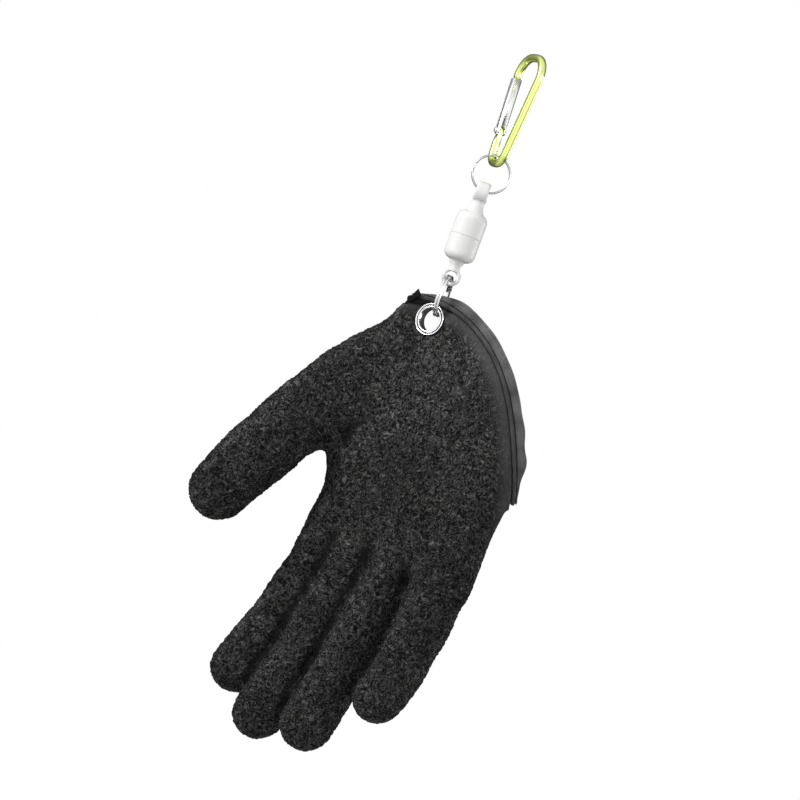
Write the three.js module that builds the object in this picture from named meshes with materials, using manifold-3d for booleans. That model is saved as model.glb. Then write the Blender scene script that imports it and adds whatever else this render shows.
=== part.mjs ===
// A right-hand fishing glove, palm side to -Y, hanging by its cuff from a split ring, a magnetic-release
// clip, a key ring and a small carabiner. Millimetres, +Z up.
// The origin is the inner top of the carabiner's bow, the point that the whole set hangs from.
import * as THREE from 'three';
import { mergeVertices } from 'three/addons/utils/BufferGeometryUtils.js';
import Module from 'manifold-3d';

const wasm = await Module();
wasm.setup();

const { clamp, degToRad, lerp, smoothstep } = THREE.MathUtils;

// Gap between pieces that touch
const touch = 0.3;

// Carabiner
const barDiameter = 4;
const carabinerLength = 60;
const carabinerWideSpan = 26.8;
const carabinerNarrowSpan = 12;
const carabinerWideCentre = 1.8;
const carabinerNarrowCentre = -1;
const carabinerTurn = degToRad(64);
const bowRadiusNose = 10;
const bowRadiusSpine = 9.5;
const footRadiusSpine = 6.4;
const footRadiusGate = 5.4;
const noseDrop = 11.5;
const hingeRise = 16.5;
const gateWidth = 4.2;
const gateThickness = 4.8;
const tongueThickness = 2;
const tongueWidth = 3.6;
const rivetDiameter = 1.6;
const rivetHeadDiameter = 3;
const rivetHeadThickness = 0.6;

// Key ring, between the carabiner and the clip
const keyRingDiameter = 20;
const keyRingWire = 1.05;

// Magnetic-release clip
const clipDiameter = 16;
const clipHalfLength = 12.6;
const clipShoulder = 4;
const upperEyeHole = 6;
const upperEyeWall = 2.4;
const upperEyeThickness = 7;
const upperNeckLength = 7.8;
const lowerEyeHole = 5.6;
const lowerEyeWall = 2;
const lowerEyeThickness = 4.6;
const lowerNeckLength = 5.8;
const neckWidth = 5.6;
const magnetDiameter = 11;
const magnetThickness = 3;
const clipEdge = 0.4;

// Split ring, between the clip and the eyelet
const splitRingDiameter = 22;
const splitRingWireWidth = 1.3;
const splitRingWireHeight = 1.6;
const splitRingTurn = degToRad(11);

// How far the chain's pieces have slid sideways on each other: the clip on the key ring, the split ring
// in the clip's eye, and the eyelet on the split ring
const clipSlide = 1.3;
const splitRingSlide = 0.5;
const eyeletSlide = 1.2;

// Both rings: the gap between their two coils, the half angle of the crossing, and the mesh's fineness
const coilGap = 0.12;
const coilCrossing = degToRad(16);
const coilSteps = 32;
const wireSides = 6;

// Eyelet through both layers of the cuff
const eyeletHole = 12;
const eyeletFlangeWidth = 1.75;
const eyeletBarrelWall = 0.5;
const eyeletFlangeThickness = 0.9;
const eyeletTurn = degToRad(34);
const pinchedThickness = 3.2;
const pinchedMargin = 1.2;
const pressDepth = 5;

// Glove
const gloveLength = 242;
const gloveWidth = 155;
const palmDepth = 32;
const palmTilt = 10;
const digitWidth = 28;
const digitDepth = 18;
const digitFan = 12;
const gloveWall = 1.8;
const pinchedDepth = 6.8;
const foldDepth = 8;
const foldWidth = 12;

// How far the palm's far edge is rounded, in half depths, the shares of its width between which it opens
// from the pinched depth, and the lean and the fullness of its bow
const farRound = 1.7;
const openFrom = 0.2;
const openTo = 0.52;
const bowLean = 0.725;
const bowFullness = 0.9;

// Cuff: the piping beyond the coat's edge, the band beyond the piping and the binding's black tail
const pipingDiameter = 2.2;
const bandWidth = 4.6;
const bandThickness = 1.6;
const tailLength = 9.8;
const tailThickness = 1.2;

// Shares of the band's width that are left at the cuff's thumb side and at its far side, and the shares
// of the way round over which it narrows
const bandNearWidth = 0.12;
const bandNearEnd = 0.15;
const bandFarWidth = 0.08;
const bandFarStart = 0.82;

// Numbers of points and sections in the glove's meshes
const palmRingPoints = 36;
const palmStations = 12;
const digitSides = 14;
const digitStations = 8;
const tipStations = 3;
const cuffPoints = 48;

// Turns rows of numbers into rows of named values
function table(columns, rows) {
  return rows.map((row) => Object.fromEntries(columns.map((column, i) => [column, row[i]])));
}

// Palm sections from the cuff down to the webs between the fingers. The left and right ends are places
// from the eyelet's centre, across as shares of the glove's width and down as shares of its length.
// The bow is a share of the section's own width and the depth of the palm's. Open says how far the left
// end has opened from the pinched depth, and round how far it is rounded, in half depths. Fold and tilt
// are shares of the fold by the eyelet and of the palm's tilt.
const palmSections = table(
  ['leftX', 'leftZ', 'rightX', 'rightZ', 'bow', 'depth', 'open', 'round', 'fold', 'tilt'],
  [
    [-0.087, -0.0235, 0.436, 0.302, 0.204, 0.92, 0, 1, 1, 0],
    [-0.139, 0.026, 0.427, 0.345, 0.19, 1, 0.06, 1.2, 0.9, 0.1],
    [-0.168, 0.136, 0.42, 0.385, 0.13, 1.04, 0.5, 2, 0.4, 0.4],
    [-0.192, 0.24, 0.418, 0.42, 0.07, 1, 0.87, 2, 0.1, 0.7],
    [-0.185, 0.33, 0.418, 0.45, 0.03, 0.94, 0.94, 2, 0, 0.85],
    [-0.144, 0.4, 0.418, 0.48, 0, 0.8, 1, 2, 0, 0.95],
    [-0.148, 0.45, 0.417, 0.51, 0, 0.62, 1, 2, 0, 1],
    [-0.138, 0.488, 0.412, 0.533, 0, 0.42, 1, 2, 0, 1],
  ],
);

// Digits, thumb first: the three control points of each centre line, placed as the palm's ends are, then
// at the root and at the tip the half width and the half depth as shares of the digit's width and depth,
// the place in the fan of digits from front to back, and the turn in degrees that brings the left side
// forward.
const digits = table(
  ['rootX', 'rootZ', 'bendX', 'bendZ', 'tipX', 'tipZ', 'rootHalf', 'tipHalf', 'rootDepth', 'tipDepth',
    'rootFan', 'tipFan', 'rootTurn', 'tipTurn'],
  [
    [-0.026, 0.079, -0.292, 0.249, -0.455, 0.476, 0.86, 0.57, 0.2, 0.54, 0.15, -0.6, -22, 8],
    [-0.058, 0.37, -0.09, 0.624, -0.209, 0.812, 0.47, 0.53, 0.47, 0.47, 0.62, 1, 15, 24],
    [0.052, 0.37, 0.02, 0.645, -0.089, 0.883, 0.46, 0.53, 0.47, 0.47, 0.28, 0.38, 15, 24],
    [0.174, 0.37, 0.149, 0.624, 0.068, 0.868, 0.47, 0.54, 0.47, 0.47, -0.08, -0.3, 15, 24],
    [0.312, 0.37, 0.331, 0.624, 0.252, 0.766, 0.61, 0.5, 0.47, 0.47, -0.5, -1, 12, 20],
  ],
);

// The three corners of the tail's back, from the cuff's thumb-side corner in shares of the tail's length
const tailCorners = table(['x', 'y', 'z'], [
  [-0.16, -0.16, -0.22],
  [0.25, -0.38, 0.68],
  [0.47, -0.68, 0.42],
]);

// Creases where each digit bends: places along it, with the half width and the depth that they take
const creases = table(['along', 'spread', 'narrowing', 'flattening'], [
  [0.42, 0.06, 0.035, 0.1],
  [0.72, 0.05, 0.03, 0.08],
]);

const materials = {
  coat: { color: 0x23242a, roughness: 0.62, metalness: 0 },
  cloth: { color: 0x4a4a4e, roughness: 0.9, metalness: 0 },
  binding: { color: 0x141416, roughness: 0.85, metalness: 0 },
  chrome: { color: 0xd6d8dc, roughness: 0.2, metalness: 1 },
  plastic: { color: 0xf2f2f0, roughness: 0.35, metalness: 0 },
  anodised: { color: 0xa8d830, roughness: 0.3, metalness: 0.85 },
};

// Turns a closed geometry's faces outward and leaves only its positions
function closedGeometry(geometry) {
  geometry.deleteAttribute('normal');
  geometry.deleteAttribute('uv');
  const merged = mergeVertices(geometry, 1e-4);
  const position = merged.attributes.position;
  const index = merged.index.array;
  const corners = [0, 1, 2].map(() => new THREE.Vector3());
  let volume = 0;
  for (let i = 0; i < index.length; i += 3) {
    corners.forEach((corner, k) => corner.fromBufferAttribute(position, index[i + k]));
    volume += corners[0].dot(corners[1].clone().cross(corners[2]));
  }
  if (volume < 0) {
    for (let i = 0; i < index.length; i += 3) {
      [index[i + 1], index[i + 2]] = [index[i + 2], index[i + 1]];
    }
  }
  return merged;
}

function toSolid(geometry) {
  const closed = closedGeometry(geometry);
  const vertProperties = new Float32Array(closed.attributes.position.array);
  const triVerts = new Uint32Array(closed.index.array);
  return new wasm.Manifold(new wasm.Mesh({ numProp: 3, vertProperties, triVerts }));
}

function toGeometry(solid) {
  const mesh = solid.getMesh();
  const geometry = new THREE.BufferGeometry();
  geometry.setAttribute('position', new THREE.BufferAttribute(new Float32Array(mesh.vertProperties), 3));
  geometry.setIndex(new THREE.BufferAttribute(new Uint32Array(mesh.triVerts), 1));
  return geometry;
}

// Skins rings of points, each with as many points in the same order. An open loft is capped by strips
// that join each point to the one across the ring, so that a bowed end stays bowed.
function loft(rings, closed = false) {
  const count = rings[0].length;
  const points = rings.flat().flatMap((point) => point.toArray());
  const index = [];
  const last = closed ? rings.length : rings.length - 1;
  for (let r = 0; r < last; r += 1) {
    const here = r * count;
    const next = ((r + 1) % rings.length) * count;
    for (let i = 0; i < count; i += 1) {
      const j = (i + 1) % count;
      index.push(here + i, here + j, next + j, here + i, next + j, next + i);
    }
  }
  if (!closed) {
    [0, (rings.length - 1) * count].forEach((start) => {
      for (let i = 0; i < count / 2; i += 1) {
        const across = (count - i) % count;
        const corners = [start + i, start + i + 1, start + count - i - 1, start + across];
        const quads = [[corners[0], corners[1], corners[2]], [corners[0], corners[2], corners[3]]];
        quads
          .filter((triangle) => new Set(triangle).size === 3)
          .forEach(([a, b, c]) => index.push(...(start === 0 ? [a, c, b] : [a, b, c])));
      }
    });
  }
  const geometry = new THREE.BufferGeometry();
  geometry.setAttribute('position', new THREE.Float32BufferAttribute(points, 3));
  geometry.setIndex(index);
  return closedGeometry(geometry);
}

// Sweeps a section along points. Its first coordinate lies beside the path, its second along up(i).
function sweep(points, section, up, closed = false) {
  const count = points.length;
  const rings = points.map((point, i) => {
    const before = points[closed ? (i + count - 1) % count : Math.max(i - 1, 0)];
    const after = points[closed ? (i + 1) % count : Math.min(i + 1, count - 1)];
    const tangent = after.clone().sub(before).normalize();
    const side = tangent.clone().cross(up(i)).normalize();
    const rise = side.clone().cross(tangent);
    return section.map(([a, b]) => point.clone().addScaledVector(side, a).addScaledVector(rise, b));
  });
  return loft(rings, closed);
}

function roundSection(halfWidth, halfHeight, sides, power = 1) {
  return Array.from({ length: sides }, (_, i) => {
    const angle = (2 * Math.PI * i) / sides;
    const c = Math.cos(angle);
    const s = Math.sin(angle);
    return [
      halfWidth * Math.sign(c) * Math.abs(c) ** power,
      halfHeight * Math.sign(s) * Math.abs(s) ** power,
    ];
  });
}

// How far an arc of this radius falls away at this distance from its middle
function fall(radius, distance) {
  return radius - Math.sqrt(radius * radius - distance * distance);
}

// Points of a polyline in the plane of X and Z with its inner corners rounded. A corner's rounding takes
// up to half of a leg that it shares with another, and nearly all of the first or last leg.
function roundedPath(corners, radii, steps = 6) {
  const path = [corners[0]];
  const last = corners.length - 1;
  for (let i = 1; i < last; i += 1) {
    const arrive = corners[i].clone().sub(corners[i - 1]).normalize();
    const leave = corners[i + 1].clone().sub(corners[i]).normalize();
    const turn = Math.atan2(arrive.x * leave.y - arrive.y * leave.x, arrive.dot(leave));
    const roomBefore = corners[i].distanceTo(corners[i - 1]) * (i === 1 ? 0.98 : 0.49);
    const roomAfter = corners[i].distanceTo(corners[i + 1]) * (i === last - 1 ? 0.98 : 0.49);
    const room = Math.min(roomBefore, roomAfter);
    const radius = Math.min(radii[i - 1], room / Math.tan(Math.abs(turn) / 2));
    const start = corners[i].clone().addScaledVector(arrive, -radius * Math.tan(Math.abs(turn) / 2));
    const inward = new THREE.Vector2(-arrive.y, arrive.x).multiplyScalar(Math.sign(turn) * radius);
    const centre = start.clone().add(inward);
    for (let k = 0; k <= steps; k += 1) {
      path.push(start.clone().rotateAround(centre, (turn * k) / steps));
    }
  }
  path.push(corners[last]);
  return path;
}

// A cylinder along a direction, centred on a point
function rod(centre, direction, radius, length, sides = 32) {
  const geometry = new THREE.CylinderGeometry(radius, radius, length, sides);
  geometry.applyQuaternion(new THREE.Quaternion().setFromUnitVectors(new THREE.Vector3(0, 1, 0), direction));
  geometry.translate(centre.x, centre.y, centre.z);
  return toSolid(geometry);
}

// Turns an outline of radii and heights about the Y axis
function lathe(outline, segments) {
  return closedGeometry(new THREE.LatheGeometry(outline.map(([r, y]) => new THREE.Vector2(r, y)), segments));
}

// A ring wound from two flat coils of wire, its axis along X, its centre at the origin
function coiledRing(diameter, wireWidth, wireHeight) {
  const radius = (diameter - wireHeight) / 2;
  const shift = (wireWidth + coilGap) / 2;
  const length = 4 * Math.PI - 2 * coilCrossing;
  const points = Array.from({ length: coilSteps + 1 }, (_, i) => {
    const angle = coilCrossing + (length * i) / coilSteps;
    const along = smoothstep(angle, 2 * Math.PI - coilCrossing, 2 * Math.PI + coilCrossing);
    return new THREE.Vector3(lerp(-shift, shift, along), radius * Math.cos(angle), radius * Math.sin(angle));
  });
  const section = roundSection(wireHeight / 2, wireWidth / 2, wireSides, 0.5);
  return sweep(points, section, () => new THREE.Vector3(1, 0, 0));
}

// Where each piece of the chain hangs, worked out downward from the origin
const footZ = barDiameter - carabinerLength;
const keyRingRadius = (keyRingDiameter - keyRingWire) / 2;
const keyRingHalfAxis = keyRingWire + coilGap / 2;
const keyRingSway = Math.abs(carabinerNarrowCentre) * Math.sin(carabinerTurn);
const keyRingZ =
  footZ + barDiameter + touch +
  fall(footRadiusGate - barDiameter / 2, keyRingHalfAxis + keyRingSway) +
  keyRingWire / 2 - keyRingRadius;
const keyRingX = carabinerNarrowCentre * Math.cos(carabinerTurn);
const upperEyeZ =
  keyRingZ - keyRingRadius + keyRingWire / 2 + touch +
  fall(keyRingRadius - keyRingWire / 2, clipSlide + upperEyeThickness / 2) +
  fall(upperEyeHole / 2, keyRingHalfAxis) - upperEyeHole / 2;
const clipTopZ = upperEyeZ - upperEyeHole / 2 - upperNeckLength;
const clipSplitZ = clipTopZ - clipHalfLength - touch / 2;
const clipBottomZ = clipSplitZ - touch / 2 - clipHalfLength;
const lowerEyeZ = clipBottomZ - lowerNeckLength - lowerEyeHole / 2;
const splitRingRadius = (splitRingDiameter - splitRingWireHeight) / 2;
const splitRingHalfAxis = splitRingWireWidth + coilGap / 2;
const splitRingInner = splitRingRadius - splitRingWireHeight / 2;
const splitRingSway = splitRingSlide + (lowerEyeThickness / 2) * Math.tan(splitRingTurn);
const splitRingZ =
  lowerEyeZ - lowerEyeHole / 2 + touch +
  fall(splitRingInner, lowerEyeThickness / 2) +
  fall(lowerEyeHole / 2, splitRingHalfAxis + splitRingSway) - splitRingInner;
const eyeletHalfLength = pinchedThickness / 2 + touch + eyeletFlangeThickness;
const eyeletSkew = eyeletTurn - splitRingTurn;
const eyeletSway = eyeletSlide + eyeletHalfLength * Math.tan(eyeletSkew);
const eyeletZ =
  splitRingZ - splitRingInner + touch +
  fall(splitRingInner, eyeletHalfLength / Math.cos(eyeletSkew)) +
  fall(eyeletHole / 2, splitRingHalfAxis + eyeletSway) - eyeletHole / 2;
const clipX = keyRingX - clipSlide;
const splitRingX = clipX - splitRingSlide;
const eyeletX = splitRingX - eyeletSlide;
const eyeletCentre = new THREE.Vector3(eyeletX, 0, eyeletZ);
const eyeletOuter = eyeletHole + 2 * (eyeletBarrelWall + eyeletFlangeWidth);
const eyeletAxis = new THREE.Vector3(-Math.sin(eyeletTurn), -Math.cos(eyeletTurn), 0);

// Carabiner, drawn in its own plane, across and up, then turned about the hang line
const wideHalf = carabinerWideSpan / 2;
const narrowHalf = carabinerNarrowSpan / 2;
const barTopZ = barDiameter / 2;
const barFootZ = footZ + barDiameter / 2;
const noseCorner = new THREE.Vector2(carabinerWideCentre - wideHalf, barTopZ);
const gateCorner = new THREE.Vector2(carabinerNarrowCentre - narrowHalf, barFootZ);
const gateLine = gateCorner.clone().sub(noseCorner).normalize();
const noseEnd = noseCorner.clone().addScaledVector(gateLine, noseDrop);
const hinge = gateCorner.clone().addScaledVector(gateLine, -hingeRise);
const hingeShoulder = hinge.clone().addScaledVector(gateLine, gateWidth / 2 + 3 * touch);

function planeMatrix(origin) {
  const along = gateLine.clone().negate();
  const matrix = new THREE.Matrix4();
  return matrix.set(
    along.y, 0, along.x, origin.x,
    0, 1, 0, 0,
    -along.x, 0, along.y, origin.y,
    0, 0, 0, 1,
  );
}

// An outline with a round foot about the origin, extruded through the carabiner's plane
function footedBar(width, top, thickness) {
  const shape = new THREE.Shape();
  const half = width / 2;
  shape.moveTo(half, top);
  shape.lineTo(half, 0);
  shape.absarc(0, 0, half, 0, -Math.PI, true);
  shape.lineTo(-half, top);
  shape.closePath();
  const settings = { depth: thickness, bevelEnabled: false, curveSegments: 10 };
  const geometry = new THREE.ExtrudeGeometry(shape, settings);
  geometry.translate(0, 0, -thickness / 2);
  geometry.rotateX(Math.PI / 2);
  return geometry;
}

function rivetHole() {
  const centre = new THREE.Vector3(hinge.x, 0, hinge.y);
  return rod(centre, new THREE.Vector3(0, 1, 0), rivetDiameter / 2 + touch, gateThickness * 2, 16);
}

function carabinerFrame() {
  const corners = [
    noseEnd,
    noseCorner,
    new THREE.Vector2(carabinerWideCentre + wideHalf, barTopZ),
    new THREE.Vector2(carabinerNarrowCentre + narrowHalf, barFootZ),
    gateCorner,
    hingeShoulder,
  ];
  const radii = [bowRadiusNose, bowRadiusSpine, footRadiusSpine, footRadiusGate];
  const points = roundedPath(corners, radii).map((point) => new THREE.Vector3(point.x, 0, point.y));
  const section = roundSection(barDiameter / 2, barDiameter / 2, 10);
  const bar = toSolid(sweep(points, section, () => new THREE.Vector3(0, 1, 0)));
  const reach = hinge.distanceTo(hingeShoulder) + barDiameter / 2;
  const tongue = footedBar(tongueWidth, reach, tongueThickness);
  tongue.rotateY(Math.PI);
  tongue.applyMatrix4(planeMatrix(hinge));
  return toGeometry(bar.add(toSolid(tongue)).subtract(rivetHole()));
}

function carabinerGate() {
  const length = hinge.distanceTo(noseEnd) - touch;
  const bar = footedBar(gateWidth, length, gateThickness);
  bar.applyMatrix4(planeMatrix(hinge));
  const slotDepth = tongueWidth / 2 + 2 * touch;
  const slot = new THREE.BoxGeometry(gateWidth * 2, tongueThickness + 2 * touch, slotDepth + gateWidth);
  slot.translate(0, 0, (slotDepth - gateWidth) / 2);
  slot.applyMatrix4(planeMatrix(hinge));
  return toGeometry(toSolid(bar).subtract(toSolid(slot)).subtract(rivetHole()));
}

function gateRivet() {
  const pin = rivetDiameter / 2;
  const head = rivetHeadDiameter / 2;
  const under = gateThickness / 2 + touch;
  const over = under + rivetHeadThickness;
  const dome = head * 0.8;
  const geometry = lathe([
    [0, -over], [dome, -over], [head, -under], [pin, -under],
    [pin, under], [head, under], [dome, over], [0, over],
  ], 16);
  geometry.translate(hinge.x, 0, hinge.y);
  return geometry;
}

// One half of the clip, standing on its mating face at the origin with its eye's hole along X
function clipHalf(neckLength, eyeHole, eyeWall, eyeThickness) {
  const radius = clipDiameter / 2;
  const outline = [[0, 0], [radius - clipEdge, 0], [radius, clipEdge]];
  const steps = 6;
  for (let i = 0; i <= steps; i += 1) {
    const angle = (Math.PI / 2) * (i / steps);
    outline.push([
      radius - clipShoulder * (1 - Math.cos(angle)),
      clipHalfLength - clipShoulder * (1 - Math.sin(angle)),
    ]);
  }
  outline.push([0, clipHalfLength]);
  const body = lathe(outline, 24);
  body.rotateX(Math.PI / 2);
  const centre = new THREE.Vector3(0, 0, clipHalfLength + neckLength + eyeHole / 2);
  const up = new THREE.Vector3(0, 0, 1);
  const across = new THREE.Vector3(1, 0, 0);
  const eye = rod(centre, across, eyeHole / 2 + eyeWall, eyeThickness, 20);
  const hole = rod(centre, across, eyeHole / 2, clipDiameter, 16);
  const stemFoot = clipHalfLength - clipShoulder / 2;
  const stemMiddle = new THREE.Vector3(0, 0, (stemFoot + centre.z) / 2);
  const stem = rod(stemMiddle, up, neckWidth / 2, centre.z - stemFoot, 12);
  const pocketDepth = magnetThickness + touch;
  const pocket = rod(new THREE.Vector3(), up, magnetDiameter / 2 + touch, 2 * pocketDepth, 20);
  return toGeometry(toSolid(body).add(eye).add(stem).subtract(hole).subtract(pocket));
}

function magnet() {
  const geometry = new THREE.CylinderGeometry(magnetDiameter / 2, magnetDiameter / 2, magnetThickness, 20);
  geometry.rotateX(Math.PI / 2);
  geometry.translate(0, 0, magnetThickness / 2);
  return closedGeometry(geometry);
}

// A place in the glove's front view, from the eyelet's centre, in shares of its width and length
function glovePlace(shareX, shareZ, y = 0) {
  return new THREE.Vector3(eyeletX + shareX * gloveWidth, y, eyeletZ - shareZ * gloveLength);
}

// A smooth row between the rows of a table, at a place from 0 to 1 through it
function between(rows, place) {
  const spot = place * (rows.length - 1);
  const i = Math.min(Math.floor(spot), rows.length - 2);
  const t = spot - i;
  const row = {};
  Object.keys(rows[0]).forEach((key) => {
    const at = (k) => rows[clamp(k, 0, rows.length - 1)][key];
    const [a, b, c, d] = [at(i - 1), at(i), at(i + 1), at(i + 2)];
    row[key] = b + 0.5 * t * (c - a + t * (2 * a - 5 * b + 4 * c - d + t * (3 * (b - c) + d - a)));
  });
  return row;
}

// The bowed line of a palm section in the front view, at a share of the way from its left to its right end
function palmLine(row, share) {
  const left = glovePlace(row.leftX, row.leftZ);
  const across = glovePlace(row.rightX, row.rightZ).sub(left);
  const lift = new THREE.Vector3(-across.z, 0, across.x);
  const bow = row.bow * Math.sin(Math.PI * share ** bowLean) ** bowFullness;
  return left.addScaledVector(across, share).addScaledVector(lift, bow);
}

// The way out of the glove at the cuff, square to the cuff's line in the front view
function outward(share) {
  const reach = 0.02;
  const before = palmLine(palmSections[0], Math.max(share - reach, 0));
  const after = palmLine(palmSections[0], Math.min(share + reach, 1));
  return new THREE.Vector3(before.z - after.z, 0, after.x - before.x).normalize();
}

// How full a section is at this distance from its end, which a quarter circle of this radius rounds off
function rounding(distance, radius) {
  return Math.sqrt(1 - (1 - Math.min(distance / radius, 1)) ** 2);
}

// One point of a palm section. The angle runs from the left end along the front to the right end and
// back behind. The inset moves it into the wall, and the push moves it out through the cuff.
function palmPoint(row, angle, inset = 0, push = 0) {
  const share = (1 - Math.cos(angle)) / 2;
  const span = palmLine(row, 0).distanceTo(palmLine(row, 1));
  const inner = inset / span;
  const point = palmLine(row, lerp(inner, 1 - inner, share));
  const full = (palmDepth / 2) * row.depth;
  const pinched = lerp(pinchedDepth / 2, full, row.open);
  const halfAt = (place) => lerp(pinched, full, smoothstep(place, openFrom, openTo)) - inset;
  const width = span - 2 * inset;
  const near = rounding(share * width, row.round * halfAt(0));
  const far = rounding((1 - share) * width, farRound * halfAt(1));
  const middle = palmTilt * row.tilt * (1 - 2 * share);
  const fold = -foldDepth * row.fold * Math.tanh((point.x - eyeletX) / foldWidth);
  point.y = middle + fold - halfAt(share) * near * far * Math.sign(Math.sin(angle));
  return point.addScaledVector(outward(share), push);
}

function palmRing(row, inset, push) {
  const step = (2 * Math.PI) / palmRingPoints;
  return Array.from({ length: palmRingPoints }, (_, i) => palmPoint(row, step * i, inset, push));
}

// The palm's solid, or with an inset its hollow, which runs on out through the cuff
function palm(inset) {
  const rings = [];
  for (let i = 0; i < palmStations; i += 1) {
    rings.push(palmRing(between(palmSections, i / (palmStations - 1)), inset, 0));
  }
  if (inset > 0) {
    rings.unshift(palmRing(palmSections[0], inset, 4 * inset));
    rings.at(-1).forEach((point) => { point.z += inset; });
  }
  return toSolid(loft(rings));
}

// A digit's solid, or with an inset its hollow
function digit(row, inset) {
  const line = new THREE.QuadraticBezierCurve3(
    glovePlace(row.rootX, row.rootZ, row.rootFan * digitFan),
    glovePlace(row.bendX, row.bendZ, lerp(row.rootFan, row.tipFan, 0.6) * digitFan),
    glovePlace(row.tipX, row.tipZ, row.tipFan * digitFan),
  );
  const rings = [];
  const addRing = (centre, tangent, turn, halfWidth, halfDepth) => {
    const back = new THREE.Vector3(0, 1, 0).addScaledVector(tangent, -tangent.y).normalize();
    const right = tangent.clone().cross(back).normalize();
    const broad = right.clone().multiplyScalar(Math.cos(turn)).addScaledVector(back, Math.sin(turn));
    const deep = back.multiplyScalar(Math.cos(turn)).addScaledVector(right, -Math.sin(turn));
    const section = roundSection(halfWidth, halfDepth, digitSides);
    rings.push(section.map(([a, b]) => centre.clone().addScaledVector(broad, a).addScaledVector(deep, b)));
  };
  for (let i = 0; i < digitStations; i += 1) {
    const t = lerp(inset / line.getLength(), 1, i / (digitStations - 1));
    const early = smoothstep(t, 0, 0.5);
    let width = lerp(row.rootHalf, row.tipHalf, t) * digitWidth;
    let depth = lerp(row.rootDepth, row.tipDepth, early) * digitDepth;
    creases.forEach((crease) => {
      const dent = Math.exp(-(((t - crease.along) / crease.spread) ** 2));
      width *= 1 - crease.narrowing * dent;
      depth *= 1 - crease.flattening * dent;
    });
    const turn = degToRad(lerp(row.rootTurn, row.tipTurn, early));
    addRing(line.getPointAt(t), line.getTangentAt(t), turn, width - inset, depth - inset);
  }
  const tangent = line.getTangentAt(1);
  const halfWidth = row.tipHalf * digitWidth - inset;
  const halfDepth = row.tipDepth * digitDepth - inset;
  for (let i = 1; i <= tipStations; i += 1) {
    const angle = (Math.PI / 2) * (i / (tipStations + 0.35));
    const centre = line.getPointAt(1).addScaledVector(tangent, halfWidth * Math.sin(angle));
    const shrink = Math.cos(angle);
    addRing(centre, tangent, degToRad(row.tipTurn), halfWidth * shrink, halfDepth * shrink);
  }
  return toSolid(loft(rings));
}

// The knit glove with its coat: a hollow skin whose two layers meet in the eyelet's flat seat
function gloveBody() {
  const skin = (inset) => digits.reduce((solid, row) => solid.add(digit(row, inset)), palm(inset));
  const outer = skin(0);
  const seatRadius = eyeletOuter / 2 + pinchedMargin;
  const seat = rod(eyeletCentre, eyeletAxis, seatRadius, pinchedThickness).intersect(outer);
  const hole = rod(eyeletCentre, eyeletAxis, eyeletHole / 2 + eyeletBarrelWall + touch, palmDepth);
  let body = outer.subtract(skin(gloveWall)).add(seat).subtract(hole);
  [-1, 1].forEach((side) => {
    const offset = (side * (pinchedThickness + pressDepth)) / 2;
    const centre = eyeletCentre.clone().addScaledVector(eyeletAxis, offset);
    body = body.subtract(rod(centre, eyeletAxis, eyeletOuter / 2 + touch, pressDepth));
  });
  return toGeometry(body);
}

// The cuff's pieces follow the first palm section, pushed out by their distance from the coat's edge
function cuffTaper(share) {
  const near = lerp(bandNearWidth, 1, smoothstep(share, 0, bandNearEnd));
  return near * lerp(1, bandFarWidth, smoothstep(share, bandFarStart, 1));
}

function cuffLoop(inset, distance) {
  return Array.from({ length: cuffPoints }, (_, i) => {
    const angle = (2 * Math.PI * i) / cuffPoints;
    const share = (1 - Math.cos(angle)) / 2;
    return palmPoint(palmSections[0], angle, inset, distance(share));
  });
}

function cuffPiping() {
  const points = cuffLoop(gloveWall / 4, () => touch + pipingDiameter / 2);
  const section = roundSection(pipingDiameter / 2, pipingDiameter / 2, wireSides);
  const up = (i) => outward((1 - Math.cos((2 * Math.PI * i) / cuffPoints)) / 2);
  return sweep(points, section, up, true);
}

function cuffBand() {
  const start = pipingDiameter + 2 * touch;
  const inner = (gloveWall + bandThickness) / 2;
  const outer = (gloveWall - bandThickness) / 2;
  const edge = (share) => start + bandWidth * cuffTaper(share);
  const loops = [
    cuffLoop(outer, () => start),
    cuffLoop(outer, edge),
    cuffLoop(inner, edge),
    cuffLoop(inner, () => start),
  ];
  const rings = loops[0].map((_, i) => loops.map((loop) => loop[i]));
  return loft(rings, true);
}

// The black tail of the binding, a pointed end that lies over the piping at the thumb-side corner
function bandTail() {
  const corner = palmPoint(palmSections[0], 0);
  const face = (lift) => tailCorners.map((place) => {
    const point = new THREE.Vector3(place.x, place.y, place.z).multiplyScalar(tailLength);
    return point.add(corner).add(new THREE.Vector3(0, -lift, 0));
  });
  return loft([face(tailThickness), face(0)]);
}

// Half the eyelet's flanges' distance under and over the seat
const flangeUnder = pinchedThickness / 2 + touch;
const flangeOver = flangeUnder + eyeletFlangeThickness;
const flangeEdge = flangeUnder + eyeletFlangeThickness * 0.5;

// The eyelet's front flange with its barrel, about the Y axis
function eyeletFront() {
  const bore = eyeletHole / 2;
  const barrel = bore + eyeletBarrelWall;
  const rim = eyeletOuter / 2;
  return lathe([
    [bore, -flangeOver], [barrel, -flangeOver], [barrel, flangeUnder], [rim, flangeUnder],
    [rim, flangeEdge], [(rim + barrel) / 2, flangeOver], [bore, flangeEdge], [bore, -flangeOver],
  ], 28);
}

// The eyelet's back flange, a washer round the barrel
function eyeletBack() {
  const bore = eyeletHole / 2 + eyeletBarrelWall + touch;
  const rim = eyeletOuter / 2;
  return lathe([
    [bore, -flangeOver], [bore, -flangeUnder], [rim, -flangeUnder], [rim, -flangeEdge],
    [(rim + bore) / 2, -flangeOver], [bore, -flangeOver],
  ], 28);
}

function piece(name, geometry, look) {
  const mesh = new THREE.Mesh(geometry, new THREE.MeshStandardMaterial(materials[look]));
  mesh.name = name;
  return mesh;
}

const model = new THREE.Group();

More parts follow.
